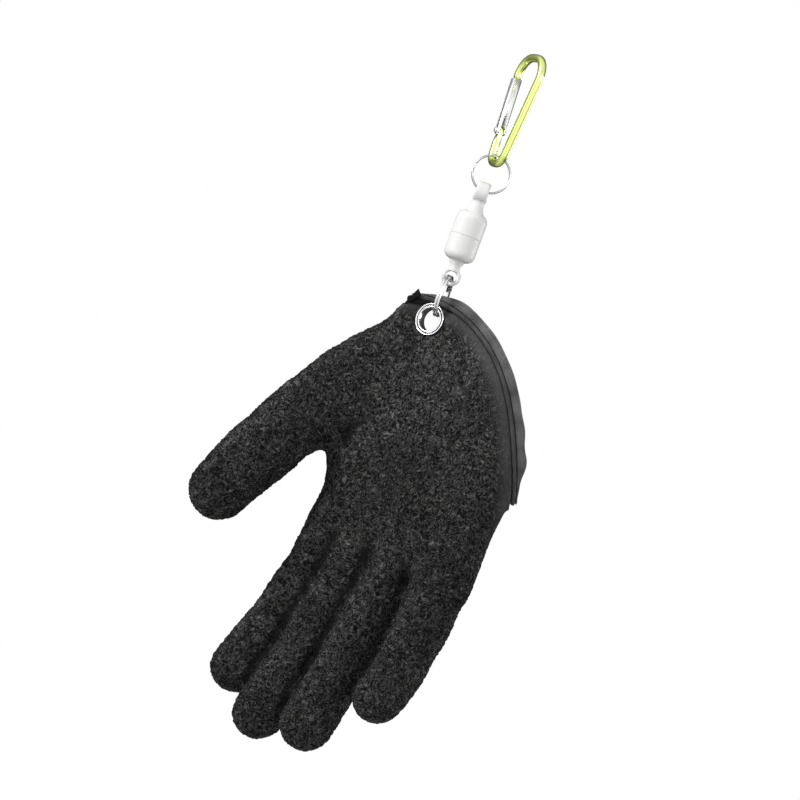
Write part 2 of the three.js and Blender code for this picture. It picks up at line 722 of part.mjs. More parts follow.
const carabiner = new THREE.Group();
carabiner.rotation.z = -carabinerTurn;
carabiner.add(
  piece('carabiner_frame', carabinerFrame(), 'anodised'),
  piece('carabiner_gate', carabinerGate(), 'chrome'),
  piece('gate_rivet', gateRivet(), 'chrome'),
);
model.add(carabiner);

const keyRing = piece('key_ring', coiledRing(keyRingDiameter, keyRingWire, keyRingWire), 'chrome');
keyRing.rotation.z = Math.PI / 2;
keyRing.position.set(keyRingX, 0, keyRingZ);
model.add(keyRing);

const clipUpper = new THREE.Group();
clipUpper.position.set(clipX, 0, clipSplitZ + touch / 2);
clipUpper.add(
  piece('clip_upper', clipHalf(upperNeckLength, upperEyeHole, upperEyeWall, upperEyeThickness), 'plastic'),
  piece('magnet_upper', magnet(), 'chrome'),
);
const clipLower = new THREE.Group();
clipLower.position.set(clipX, 0, clipSplitZ - touch / 2);
clipLower.rotation.set(Math.PI, 0, Math.PI / 2);
clipLower.add(
  piece('clip_lower', clipHalf(lowerNeckLength, lowerEyeHole, lowerEyeWall, lowerEyeThickness), 'plastic'),
  piece('magnet_lower', magnet(), 'chrome'),
);
model.add(clipUpper, clipLower);

const splitCoils = coiledRing(splitRingDiameter, splitRingWireWidth, splitRingWireHeight);
const splitRing = piece('split_ring', splitCoils, 'chrome');
splitRing.rotation.z = -splitRingTurn;
splitRing.position.set(splitRingX, 0, splitRingZ);
model.add(splitRing);

const eyelet = new THREE.Group();
eyelet.quaternion.setFromUnitVectors(new THREE.Vector3(0, 1, 0), eyeletAxis);
eyelet.position.copy(eyeletCentre);
eyelet.add(piece('eyelet_front', eyeletFront(), 'chrome'), piece('eyelet_back', eyeletBack(), 'chrome'));
model.add(eyelet);

model.add(
  piece('glove_body', gloveBody(), 'coat'),
  piece('cuff_piping', cuffPiping(), 'cloth'),
  piece('cuff_band', cuffBand(), 'cloth'),
  piece('band_tail', bandTail(), 'binding'),
);

export default model;
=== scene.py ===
"""A coated fishing glove hanging from its magnetic clip and carabiner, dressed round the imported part.

The palm faces -Y, +Z is up and the origin is the point that the set hangs from. Shapes are worked out in
millimetres and turned to metres as they are made.
"""
from math import atan2, cos, exp, hypot, pi, radians, sin, sqrt, tan, tanh

import bmesh
import bpy
import numpy as np
from mathutils import Matrix, Vector, noise


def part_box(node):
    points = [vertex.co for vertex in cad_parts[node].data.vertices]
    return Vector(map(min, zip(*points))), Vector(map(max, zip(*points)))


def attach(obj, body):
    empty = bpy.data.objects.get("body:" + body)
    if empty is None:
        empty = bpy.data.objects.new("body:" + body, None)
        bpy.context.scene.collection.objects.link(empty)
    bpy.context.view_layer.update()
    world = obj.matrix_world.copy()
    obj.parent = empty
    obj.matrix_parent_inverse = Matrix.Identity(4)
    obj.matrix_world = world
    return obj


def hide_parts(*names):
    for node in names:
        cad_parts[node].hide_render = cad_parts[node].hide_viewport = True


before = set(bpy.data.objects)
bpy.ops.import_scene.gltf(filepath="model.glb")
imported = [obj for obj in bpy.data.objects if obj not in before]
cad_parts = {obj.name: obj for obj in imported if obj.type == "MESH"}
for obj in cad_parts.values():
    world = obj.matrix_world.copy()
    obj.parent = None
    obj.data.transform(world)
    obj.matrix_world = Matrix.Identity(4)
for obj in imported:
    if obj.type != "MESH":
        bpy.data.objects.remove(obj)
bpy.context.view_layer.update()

MM = 0.001
TURN = 2 * pi

# Photograph's view: its camera is rolled, and the frame shows this width at the glove
VIEW_ROLL = radians(20)
VIEW_CENTRE = Vector((-4.7, 0, -181.6))
VIEW_WIDTH = 400
LENS = 135
SENSOR = 36

# Carabiner
BAR = 4
CARABINER_LENGTH = 60
WIDE_SPAN = 26.8
NARROW_SPAN = 12
WIDE_CENTRE = 1.8
NARROW_CENTRE = -1
CARABINER_TURN = radians(-64)
BOW_RADII = (10, 9.5, 6.4, 5.4)
NOSE_DROP = 11.5
HINGE_RISE = 16.5
GATE_WIDTH = 4.2
GATE_THICKNESS = 4.8
TONGUE_THICKNESS = 2
TONGUE_WIDTH = 3.6
RIVET = 1.6
GAP = 0.3

# Rings, clip and eyelet
COIL_GAP = 0.12
COIL_CROSSING = radians(16)
KEY_RING = 20
KEY_RING_WIRE = 1.05
SPLIT_RING = 22
SPLIT_WIRE_WIDTH = 1.3
SPLIT_WIRE_HEIGHT = 1.6
SPLIT_RING_TURN = radians(-11)
CLIP_RADIUS = 8
CLIP_HALF_LENGTH = 12.6
CLIP_SHOULDER = 4
CLIP_SLIDE = 1.3
SPLIT_RING_SLIDE = 0.5
EYELET_SLIDE = 1.2
UPPER_EYE = {"hole": 6, "wall": 2.4, "thickness": 7, "neck": 7.8, "root": 3.6}
LOWER_EYE = {"hole": 5.6, "wall": 2, "thickness": 4.6, "neck": 5.8, "root": 3.2}
CLIP_VOXEL = 0.36
CLIP_SMOOTHING = 3
FACE_SPARE = 1
FACE_TRIM = 0.12
MAGNET = 11
MAGNET_THICKNESS = 3
EYELET_BORE = 6
EYELET_BARREL = 6.5
EYELET_RIM = 8.25
EYELET_TURN = radians(34)
EYELET_FLANGE = 0.9
SEAT_HALF = 1.6
SEAT_REACH = (8.8, 17)
SEAT_DEPTH = 14

# Glove
GLOVE_WIDTH = 155
GLOVE_LENGTH = 242
PALM_DEPTH = 32
PALM_TILT = 10
PINCHED_DEPTH = 6.8
FOLD_DEPTH = 8
FOLD_WIDTH = 12
DIGIT_WIDTH = 28
DIGIT_DEPTH = 18
DIGIT_FAN = 12
WALL = 1.8
PINCHED_WALL = 1.1
MOUTH_SPARE = 8
FAR_ROUND = 1.7
OPEN_SHARES = (0.2, 0.52)
BOW_LEAN = 0.725
BOW_FULLNESS = 0.9
PIPING = 2.2
BAND_WIDTH = 4.6
BAND_THICKNESS = 1.6
BAND_NEAR_SHARE = 0.12
BAND_NEAR_END = 0.15
BAND_FAR_SHARE = 0.08
BAND_FAR_START = 0.82
TAIL_LENGTH = 9.8
TAIL_THICKNESS = 1.2

# Places as shares of the glove's width and length from the eyelet's centre, then the shares of the bow,
# of the depth, of the opening from the pinched depth, of the rounding, of the fold and of the tilt
PALM_COLUMNS = ("left_x", "left_z", "right_x", "right_z", "bow", "depth", "open", "round", "fold", "tilt")
PALM = (
    (-0.087, -0.0235, 0.436, 0.302, 0.204, 0.92, 0, 1, 1, 0),
    (-0.139, 0.026, 0.427, 0.345, 0.19, 1, 0.06, 1.2, 0.9, 0.1),
    (-0.168, 0.136, 0.42, 0.385, 0.13, 1.04, 0.5, 2, 0.4, 0.4),
    (-0.192, 0.24, 0.418, 0.42, 0.07, 1, 0.87, 2, 0.1, 0.7),
    (-0.185, 0.33, 0.418, 0.45, 0.03, 0.94, 0.94, 2, 0, 0.85),
    (-0.144, 0.4, 0.418, 0.48, 0, 0.8, 1, 2, 0, 0.95),
    (-0.148, 0.45, 0.417, 0.51, 0, 0.62, 1, 2, 0, 1),
    (-0.138, 0.488, 0.412, 0.533, 0, 0.42, 1, 2, 0, 1),
)

# Thumb first: root, bend and tip as the palm's places, the half widths and depths at root and tip, the
# places in the fan from front to back, and the turns in degrees
DIGIT_COLUMNS = ("root_x", "root_z", "bend_x", "bend_z", "tip_x", "tip_z", "root_half", "tip_half",
                 "root_depth", "tip_depth", "root_fan", "tip_fan", "root_turn", "tip_turn")
DIGITS = (
    (-0.026, 0.079, -0.292, 0.249, -0.455, 0.476, 0.86, 0.57, 0.2, 0.54, 0.15, -0.6, -22, 8),
    (-0.058, 0.37, -0.09, 0.624, -0.209, 0.812, 0.47, 0.53, 0.47, 0.47, 0.62, 1, 15, 24),
    (0.052, 0.37, 0.02, 0.645, -0.089, 0.883, 0.46, 0.53, 0.47, 0.47, 0.28, 0.38, 15, 24),
    (0.174, 0.37, 0.149, 0.624, 0.068, 0.868, 0.47, 0.54, 0.47, 0.47, -0.08, -0.3, 15, 24),
    (0.312, 0.37, 0.331, 0.624, 0.252, 0.766, 0.61, 0.5, 0.47, 0.47, -0.5, -1, 12, 20),
)

# Creases across a digit: the place along it, the spread, and how far it narrows and flattens there
CREASES = ((0.42, 0.06, 0.035, 0.1), (0.72, 0.05, 0.03, 0.08))

# Corners of the binding's tail, from the cuff's thumb-side corner in shares of the tail's length
TAIL_CORNERS = ((-0.16, -0.16, -0.25), (0.25, -0.38, 0.68), (0.47, -0.68, 0.42))

# Pull on the cuff's thumb-side corner, and the distances over which it fades
CORNER_PULL = Vector((-3, 0, -2.3))
CORNER_REACH = (2, 13)

# First skin's voxels, and how often it is smoothed
SKIN_VOXEL = 1.98
SKIN_SMOOTHING = 4

# Cloth that bridges the crotch between the thumb and the palm, and how often it is smoothed
CROTCH = Vector((-34, 0, -219))
CROTCH_RADIUS = 14
CROTCH_SMOOTHING = 36

# Smoothings that a skin is measured against, to tell how hollow it is
HOLLOW_SMOOTHING = 52

# Wrinkles of the coat's mesh, and how near to the eyelet's axis there are none
WRINKLE_SPACING = 2.3
WRINKLE_WANDER = 1.6
WRINKLE_HEIGHT = 0.5
WRINKLE_SINK = 0.16
EYELET_CLEAR = 9.5

# Coat: the scales of its broad and fine ridges, how sharply they rise and where they start past the cuff
RIDGE_SCALE = 330
FINE_RIDGE_SCALE = 520
RIDGE_SHARPNESS = 9
CRINKLED_FROM = (1.5, 10)


def middle(node):
    low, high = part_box(node)
    return (low + high) / 2 / MM


KEY_RING_X = NARROW_CENTRE * cos(CARABINER_TURN)
CLIP_X = KEY_RING_X - CLIP_SLIDE
SPLIT_RING_X = CLIP_X - SPLIT_RING_SLIDE
EYELET_X = SPLIT_RING_X - EYELET_SLIDE
EYELET_Z = middle("eyelet_front").z
EYELET = Vector((EYELET_X, 0, EYELET_Z))
EYELET_AXIS = Vector((-sin(EYELET_TURN), -cos(EYELET_TURN), 0))


# Working values


def lerp(a, b, t):
    return a + (b - a) * t


def ease(value, low, high):
    t = min(max((value - low) / (high - low), 0.0), 1.0)
    return t * t * (3 - 2 * t)


def rounding(distance, radius):
    return sqrt(max(1 - (1 - min(max(distance, 0) / radius, 1)) ** 2, 0))


# Mesh tools


def skin(rings, around=True, along=False, caps=False):
    """A grid bent over rings of points, which have as many points each, and closed where its edges meet.
    Its UV map runs round the rings in U and from the first ring to the last in V."""
    count = len(rings[0])
    columns = count if around else count - 1
    rows = len(rings) if along else len(rings) - 1
    bm = bmesh.new()
    bm.loops.layers.uv.new("UVMap")
    bmesh.ops.create_grid(bm, x_segments=columns, y_segments=rows, size=0.5, calc_uvs=True)
    for vert in bm.verts:
        i = round((vert.co.x + 0.5) * columns) % count
        j = round((vert.co.y + 0.5) * rows) % len(rings)
        vert.co = rings[j][i]
    bmesh.ops.remove_doubles(bm, verts=bm.verts, dist=1e-4)
    bmesh.ops.dissolve_degenerate(bm, edges=bm.edges, dist=1e-5)
    if caps:
        bmesh.ops.holes_fill(bm, edges=[edge for edge in bm.edges if edge.is_boundary])
    bmesh.ops.recalc_face_normals(bm, faces=bm.faces)
    return bm


def sweep(points, section, up):
    """Rings of a section carried along points: its first number lies beside the path, its second along up."""
    rings = []
    last = len(points) - 1
    for i, point in enumerate(points):
        before = points[max(i - 1, 0)]
        after = points[min(i + 1, last)]
        tangent = (after - before).normalized()
        side = tangent.cross(up(i)).normalized()
        rise = side.cross(tangent)
        rings.append([point + side * a + rise * b for a, b in section(i)])
    return rings


def round_section(half_width, half_height, sides, power=1.0):
    spots = []
    for i in range(sides):
        c, s = cos(TURN * i / sides), sin(TURN * i / sides)
        spots.append((half_width * abs(c) ** power * (1 if c >= 0 else -1),
                      half_height * abs(s) ** power * (1 if s >= 0 else -1)))
    return spots


def turned(profile, segments):
    """Rings of a profile of radii and heights turned about Z."""
    return [[Vector((radius * cos(TURN * i / segments), radius * sin(TURN * i / segments), height))
             for i in range(segments)] for radius, height in profile]


def to_mesh(bm, name):
    mesh = bpy.data.meshes.new(name)
    bm.to_mesh(mesh)
    bm.free()
    return mesh


def made(name, bm_or_mesh, material=None, scale=MM):
    """A smooth object at the origin, its mesh turned from millimetres to metres."""
    mesh = to_mesh(bm_or_mesh, name) if isinstance(bm_or_mesh, bmesh.types.BMesh) else bm_or_mesh
    mesh.name = name
    mesh.transform(Matrix.Scale(scale, 4))
    if material:
        mesh.materials.append(material)
    mesh.shade_smooth()
    thing = bpy.data.objects.new(name, mesh)
    bpy.context.scene.collection.objects.link(thing)
    return thing


def applied(bm_or_mesh, *modifiers):
    """The mesh that modifiers make. Each modifier is its type and its settings."""
    thing = made("working", bm_or_mesh, scale=1)
    for kind, settings in modifiers:
        modifier = thing.modifiers.new(kind, kind)
        for key, value in settings.items():
            setattr(modifier, key, value)
    bpy.context.view_layer.update()
    shown = thing.evaluated_get(bpy.context.evaluated_depsgraph_get())
    mesh = bpy.data.meshes.new_from_object(shown)
    bpy.data.objects.remove(thing)
    return mesh


def merged(*parts):
    """Several shapes in one bmesh."""
    whole = bmesh.new()
    whole.loops.layers.uv.new("UVMap")
    for part in parts:
        mesh = to_mesh(part, "part")
        whole.from_mesh(mesh)
        bpy.data.meshes.remove(mesh)
    return whole


def smoothed(bm, verts, rounds):
    for _ in range(rounds):
        bmesh.ops.smooth_vert(bm, verts=verts, factor=0.5, use_axis_x=True, use_axis_y=True, use_axis_z=True)
    return bm


def melted(bm, voxel, smoothing):
    """Overlapping closed shapes melted into one skin."""
    mesh = applied(bm, ("REMESH", {"mode": "VOXEL", "voxel_size": voxel}))
    skin_mesh = bmesh.new()
    skin_mesh.from_mesh(mesh)
    bpy.data.meshes.remove(mesh)
    return smoothed(skin_mesh, skin_mesh.verts, smoothing)


def cut_with(bm, other, operation="DIFFERENCE"):
    """A shape less another one, or joined to it, by an exact boolean."""
    tool = made("tool", other, scale=1)
    mesh = applied(bm, ("BOOLEAN", {"operation": operation, "solver": "EXACT", "object": tool}))
    bpy.data.objects.remove(tool)
    result = bmesh.new()
    result.from_mesh(mesh)
    bpy.data.meshes.remove(mesh)
    return result


def cylinder(centre, direction, radius, length, segments=32):
    bm = bmesh.new()
    place = Matrix.Translation(centre) @ Vector(direction).to_track_quat("Z", "Y").to_matrix().to_4x4()
    bmesh.ops.create_cone(bm, cap_ends=True, segments=segments, radius1=radius, radius2=radius,
                          depth=length, matrix=place)
    return bm


def move(bm, matrix):
    bmesh.ops.transform(bm, matrix=matrix, verts=bm.verts)
    return bm


# Materials


class Value:
    """One value of a material. Arithmetic on it adds Math nodes."""

    def __init__(self, finish, socket):
        self.finish = finish
        self.socket = socket

    def math(self, operation, *inputs):
        return self.finish.node("Math", {"operation": operation}, dict(enumerate(inputs)))

    def __add__(self, other):
        return self.math("ADD", self, other)

    def __sub__(self, other):
        return self.math("SUBTRACT", self, other)

    def __mul__(self, other):
        return self.math("MULTIPLY", self, other)

    def __pow__(self, other):
        return self.math("POWER", self, other)

    def __rsub__(self, other):
        return self.math("SUBTRACT", other, self)

    __radd__ = __add__
    __rmul__ = __mul__

    def size(self):
        return self.math("ABSOLUTE", self)

    def sine(self):
        return self.math("SINE", self)

    def atmost(self, other):
        return self.math("MINIMUM", self, other)

    def atleast(self, other):
        return self.math("MAXIMUM", self, other)

    def between(self, low, high):
        """0 below low, 1 above high and smooth between them."""
        return self.finish.node("MapRange", {"interpolation_type": "SMOOTHSTEP"},
                                {"Value": self, "From Min": low, "From Max": high})


class Finish:
    """A material whose nodes are written as expressions."""

    def __init__(self, name, **sockets):
        self.material = bpy.data.materials.new(name)
        self.material.use_nodes = True
        self.tree = self.material.node_tree
        self.shader = self.tree.nodes["Principled BSDF"]
        self.set(**sockets)

    def node(self, kind, settings=None, inputs=None, out=0):
        node = self.tree.nodes.new("ShaderNode" + kind)
        for key, value in (settings or {}).items():
            setattr(node, key, value)
        for key, value in (inputs or {}).items():
            self.join(node.inputs[key], value)
        return Value(self, node.outputs[out])

    def join(self, socket, value):
        if isinstance(value, Value):
            self.tree.links.new(value.socket, socket)
        else:
            socket.default_value = value

    def set(self, **sockets):
        named = {socket.name.lower().replace(" ", "_"): socket for socket in self.shader.inputs}
        for name, value in sockets.items():
            self.join(named[name], value)
        return self

    def grain(self, place, scale, detail=2.0, distortion=0.0, roughness=0.5):
        return self.node("TexNoise", {}, {"Vector": place, "Scale": scale, "Detail": detail,
                                          "Distortion": distortion, "Roughness": roughness})

    def colours(self, factor, first, second):
        return self.node("Mix", {"data_type": "RGBA"}, {0: factor, 6: first, 7: second}, out=2)

    def bump(self, height, depth, strength=1.0):
        self.set(normal=self.node("Bump", {}, {"Height": height, "Distance": depth, "Strength": strength}))
        return self

    def place(self):
        return self.node("TexCoord", out="Object")

    def uv(self):
        split = self.node("SeparateXYZ", {}, {0: self.node("TexCoord", out="UV")})
        return split, Value(self, split.socket.node.outputs[1])


def grey(value, warmth=0.0):
    return (value * (1 + warmth), value, value * (1 - warmth), 1)


def coat_finish():
    """Crinkled rubber: short curled ridges over the knit with painted light on their tops and painted shade
    in the valleys, smoother beside the cuff, and painted shade in its hollows.
    """
    coat = Finish("crinkled_coat", ior=1.5, specular_ior_level=0.06, coat_roughness=0.42)
    place = coat.place()
    edge = coat.node("Attribute", {"attribute_name": "edge_distance"}, out="Fac")
    hollow = coat.node("Attribute", {"attribute_name": "hollow"}, out="Fac")

    def ridges(scale, distortion):
        """Thin lines, along which a noise crosses its middle value."""
        off_line = (coat.grain(place, scale, 1, distortion) - 0.5).size()
        return 1 - (off_line * RIDGE_SHARPNESS).atmost(1)

    crinkled = edge.between(*CRINKLED_FROM)
    height = ridges(RIDGE_SCALE, 1.2).atleast(ridges(FINE_RIDGE_SCALE, 0.9) * 0.6) ** 1.8
    patches = coat.grain(place, 45, 3)
    shade = height * (0.45 + 0.8 * patches)
    # Painted light and shade on the crinkle: lighter ridge tops and near-black valleys, varied by random
    # patches of tone
    wear_and_painted_shade = coat.colours(shade, grey(0.002), grey(0.16, 0.02))
    smooth_edge = coat.colours(patches, grey(0.028), grey(0.07))
    lit = coat.colours(crinkled, smooth_edge, wear_and_painted_shade)
    # Painted shade: the coat turns near black where the skin lies deep in its hollows, between the fingers
    # and in creases
    coat.set(base_color=coat.colours(hollow.between(0.1, 1.6), lit, grey(0.004)),
             roughness=0.75 - 0.15 * shade, coat_weight=shade * 0.25)
    raised = height * (0.1 + 0.9 * crinkled) + 0.12 * coat.grain(place, 1400, 1)
    return coat.bump(raised, 0.0017).material


def lining_finish():
    """Knit lining: columns of small loops."""
    lining = Finish("knit_lining", roughness=0.95)
    place = lining.node("SeparateXYZ", {}, {0: lining.place()})
    across = (place * 4200).sine().size()
    down = (Value(lining, place.socket.node.outputs[2]) * 5200 + across * 2).sine().size()
    height = across * down
    lining.set(base_color=lining.colours(height, grey(0.02), grey(0.07)))
    return lining.bump(height, 0.0004, 0.8).material


def woven_finish(name, dark, light, across, along, sheen=0.1):
    """Plain weave on a piece's own UV map."""
    cloth = Finish(name, roughness=0.93, sheen_weight=sheen, sheen_roughness=0.6, specular_ior_level=0.2)
    u, v = cloth.uv()
    warp = (u * (across * pi)).sine().size()
    weft = (v * (along * pi)).sine().size()
    over = ((u * (across * pi / 2)).sine() * (v * (along * pi / 2)).sine()).between(-0.3, 0.3)
    height = over * warp + (1 - over) * weft
    place = cloth.place()
    wear_and_painted_shade = cloth.grain(place, 160, 3)
    cloth.set(base_color=cloth.colours(height * 0.55 + wear_and_painted_shade * 0.6, grey(dark), grey(light)))
    return cloth.bump(height + 0.5 * cloth.grain(place, 2500, 1), 0.0003).material


def metal_finish(name, colour, roughness, tint=None, metallic=1.0, groove=None):
    """Bright metal with fine wear and a cloudy polish. Anodising over it leaves it less metallic. A groove
    is a place and a width along a turned piece's profile, where shade is painted in near black."""
    metal = Finish(name, metallic=metallic)
    place = metal.place()
    cloud = metal.grain(place, 90, 3)
    scratch = metal.grain(metal.node("Mapping", {}, {0: place, 3: (1, 1, 0.12)}), 2600, 2)
    shine = metal.colours(cloud, colour, tint or colour)
    if groove:
        along = metal.uv()[1]
        # Painted shade: the groove's band along the profile is coloured near black
        outside_groove_shade = (along - groove[0]).size().between(groove[1] * 0.4, groove[1])
        shine = metal.colours(outside_groove_shade, grey(0.015), shine)
    metal.set(base_color=shine, roughness=roughness + 0.09 * cloud + 0.06 * scratch)
    return metal.bump(scratch, 0.00002, 0.2).material


def plastic_finish():
    """Satin white moulded plastic."""
    plastic = Finish("white_plastic", ior=1.5, specular_ior_level=0.3)
    place = plastic.place()
    mottle = plastic.grain(place, 120, 2)
    plastic.set(base_color=plastic.colours(mottle, (0.68, 0.68, 0.675, 1), (0.73, 0.73, 0.72, 1)),
                roughness=0.3 + 0.12 * mottle)
    return plastic.bump(plastic.grain(place, 1500, 2), 0.00003, 0.5).material


COAT = coat_finish()
LINING = lining_finish()
BAND = woven_finish("woven_band", 0.003, 0.2, 620, 26)
CORD = woven_finish("piping_cloth", 0.02, 0.1, 520, 14)
BINDING = woven_finish("black_binding", 0.002, 0.006, 22, 30, 0)
BRIGHT = (0.78, 0.79, 0.81, 1)
BRIGHTER = (0.86, 0.86, 0.87, 1)
CHROME = metal_finish("bright_steel", BRIGHT, 0.14, BRIGHTER)
STEEL = metal_finish("thin_ring_steel", (0.4, 0.4, 0.41, 1), 0.24, (0.5, 0.5, 0.51, 1))
NICKEL = metal_finish("plated_magnet", (0.62, 0.6, 0.57, 1), 0.2, (0.7, 0.69, 0.66, 1))
SILVER = metal_finish("gate_silver", (0.8, 0.81, 0.83, 1), 0.2, (0.88, 0.89, 0.9, 1), 0.9)
LIME = metal_finish("lime_anodised", (0.68, 0.8, 0.2, 1), 0.16, (0.8, 0.88, 0.32, 1), 0.88)
WHITE = plastic_finish()


# Glove's shape


def glove_place(x, z, y=0.0):
    return Vector((EYELET_X + x * GLOVE_WIDTH, y, EYELET_Z - z * GLOVE_LENGTH))


def palm_row(place):
    """A smooth row between the rows of the palm's table, at a place from 0 to 1 through it."""
    spot = place * (len(PALM) - 1)
    i = min(int(spot), len(PALM) - 2)
    t = spot - i
    a, b, c, d = (np.array(PALM[min(max(k, 0), len(PALM) - 1)], float) for k in (i - 1, i, i + 1, i + 2))
    values = b + 0.5 * t * (c - a + t * (2 * a - 5 * b + 4 * c - d + t * (3 * (b - c) + d - a)))
    return dict(zip(PALM_COLUMNS, values))


def palm_line(row, share):
    left = glove_place(row["left_x"], row["left_z"])
    across = glove_place(row["right_x"], row["right_z"]) - left
    lift = Vector((-across.z, 0, across.x))
    bow = row["bow"] * max(sin(pi * min(max(share, 0), 1) ** BOW_LEAN), 0) ** BOW_FULLNESS
    return left + across * share + lift * bow


CUFF = palm_row(0)


def outward(share):
    reach = 0.02
    before = palm_line(CUFF, max(share - reach, 0))
    after = palm_line(CUFF, min(share + reach, 1))
    return Vector((before.z - after.z, 0, after.x - before.x)).normalized()


def palm_point(row, angle, inset=0.0, push=0.0, thickness=1.0):
    """One point of a palm section. The angle runs from the left end along the front to the right end."""
    share = (1 - cos(angle)) / 2
    span = (palm_line(row, 0) - palm_line(row, 1)).length
    inner = inset / span
    point = palm_line(row, lerp(inner, 1 - inner, share))
    full = PALM_DEPTH / 2 * row["depth"]
    pinched = lerp(PINCHED_DEPTH / 2, full, row["open"])

    def half(place):
        return lerp(pinched, full, ease(place, *OPEN_SHARES)) - inset

    width = span - 2 * inset
    near = rounding(share * width, row["round"] * half(0))
    far = rounding((1 - share) * width, FAR_ROUND * half(1))
    centre = PALM_TILT * row["tilt"] * (1 - 2 * share)
    fold = -FOLD_DEPTH * row["fold"] * tanh((point.x - EYELET_X) / FOLD_WIDTH)
    side = 1 if sin(angle) >= 0 else -1
    point.y = centre + fold - half(share) * near * far * side * thickness
    return point + outward(share) * push


def palm_shape(sides=96, stations=48):
    angles = [TURN * i / sides for i in range(sides)]
    rings = [[palm_point(CUFF, angle, 0, MOUTH_SPARE, thickness) for angle in angles]
             for thickness in (0, 1)]
    rings += [[palm_point(palm_row(k / stations), angle) for angle in angles] for k in range(stations + 1)]
    rings.append([palm_point(palm_row(1), angle, 0, 0, 0) for angle in angles])
    return skin(rings)


def digit_shape(values, sides=32, stations=30, tips=8):
    row = dict(zip(DIGIT_COLUMNS, values))
    root = glove_place(row["root_x"], row["root_z"], row["root_fan"] * DIGIT_FAN)
    bend = glove_place(row["bend_x"], row["bend_z"], lerp(row["root_fan"], row["tip_fan"], 0.6) * DIGIT_FAN)
    tip = glove_place(row["tip_x"], row["tip_z"], row["tip_fan"] * DIGIT_FAN)

    def on_line(t):
        return root * (1 - t) ** 2 + bend * 2 * t * (1 - t) + tip * t * t

    fine = [k / 100 for k in range(101)]
    lengths = np.cumsum([0] + [(on_line(b) - on_line(a)).length for a, b in zip(fine, fine[1:])])

    def frame_at(share):
        t = float(np.interp(share * lengths[-1], lengths, fine))
        tangent = ((bend - root) * 2 * (1 - t) + (tip - bend) * 2 * t).normalized()
        return on_line(t), tangent

    rings = []

    def add_ring(centre, tangent, turn, half_width, half_depth):
        back = (Vector((0, 1, 0)) - tangent * tangent.y).normalized()
        right = tangent.cross(back).normalized()
        broad = right * cos(turn) + back * sin(turn)
        deep = back * cos(turn) - right * sin(turn)
        rings.append([centre + broad * a + deep * b
                      for a, b in round_section(half_width, half_depth, sides)])

    centre, tangent = frame_at(0)
    add_ring(centre, tangent, 0, 0, 0)
    for k in range(stations + 1):
        t = k / stations
        early = ease(t, 0, 0.5)
        half_width = lerp(row["root_half"], row["tip_half"], t) * DIGIT_WIDTH
        half_depth = lerp(row["root_depth"], row["tip_depth"], early) * DIGIT_DEPTH
        for along, spread, narrowing, flattening in CREASES:
            dent = exp(-(((t - along) / spread) ** 2))
            half_width *= 1 - narrowing * dent
            half_depth *= 1 - flattening * dent
        centre, tangent = frame_at(t)
        turn = radians(lerp(row["root_turn"], row["tip_turn"], early))
        add_ring(centre, tangent, turn, half_width, half_depth)
    for k in range(1, tips + 1):
        angle = pi / 2 * k / tips
        reach = half_width * sin(angle)
        shrink = cos(angle) if k < tips else 0
        add_ring(centre + tangent * reach, tangent, radians(row["tip_turn"]),
                 row["tip_half"] * DIGIT_WIDTH * shrink, row["tip_depth"] * DIGIT_DEPTH * shrink)
    return skin(rings)


CUFF_SHARES = [k / 120 for k in range(121)]
CUFF_LINE = np.array([(p.x, p.z) for p in (palm_line(CUFF, s) for s in CUFF_SHARES)])
CUFF_OUT = np.array([(n.x, n.z) for n in (outward(s) for s in CUFF_SHARES)])


def beyond_cuff(places):
    """How far points lie out past the coat's edge, and which way is out there, in the front view."""
    flat = places[:, [0, 2]]
    gap = flat[:, None, :] - CUFF_LINE[None]
    nearest = (gap ** 2).sum(2).argmin(1)
    out = CUFF_OUT[nearest]
    return (gap[np.arange(len(flat)), nearest] * out).sum(1), out


def points_of(bm):
    return np.array([vert.co for vert in bm.verts])


def boundary_rings(bm):
    """The open edges, in lists that hang together."""
    left = {edge for edge in bm.edges if edge.is_boundary}
    rings = []
    while left:
        ring = [left.pop()]
        for edge in ring:
            near = {other for vert in edge.verts for other in vert.link_edges if other in left}
            left -= near
            ring.extend(near)
        rings.append(ring)
    return rings


def ring_verts(ring):
    return list({vert for edge in ring for vert in edge.verts})


def from_eyelet(point):
    """A point's height over the eyelet's seat, towards the front, and its way out from the axis."""
    gap = point - EYELET
    height = gap.dot(EYELET_AXIS)
    return height, gap - EYELET_AXIS * height


def open_cuff(bm):
    distance, _ = beyond_cuff(points_of(bm))
    bm.verts.ensure_lookup_table()
    bmesh.ops.delete(bm, geom=[bm.verts[i] for i in np.nonzero(distance > 0)[0]], context="VERTS")
    rings = boundary_rings(bm)
    mouth = max(rings, key=len)
    for ring in rings:
        if ring is not mouth:
            bmesh.ops.holes_fill(bm, edges=ring)
    rim = ring_verts(mouth)
    distance, out = beyond_cuff(np.array([vert.co for vert in rim]))
    for vert, gap, way in zip(rim, distance, out):
        vert.co -= Vector((way[0], 0, way[1])) * gap


def draw_corner(bm):
    """Draws the cuff's thumb-side corner out under the binding's tail."""
    corner = palm_point(CUFF, 0)
    for vert in bm.verts:
        reach = hypot(vert.co.x - corner.x, vert.co.z - corner.z)
        vert.co += CORNER_PULL * (1 - ease(reach, *CORNER_REACH))


def held(point):
    """How firmly the eyelet holds the cloth at a point, from 0 to 1."""
    height, spread = from_eyelet(point)
    return 1 - ease(spread.length, *SEAT_REACH) if abs(height) < SEAT_DEPTH else 0


def pinch_eyelet(bm):
    """Presses both layers on to the eyelet's seat."""
    for vert in bm.verts:
        height, _ = from_eyelet(vert.co)
        seat = SEAT_HALF if height > 0 else -SEAT_HALF
        vert.co += EYELET_AXIS * (seat - height) * held(vert.co)


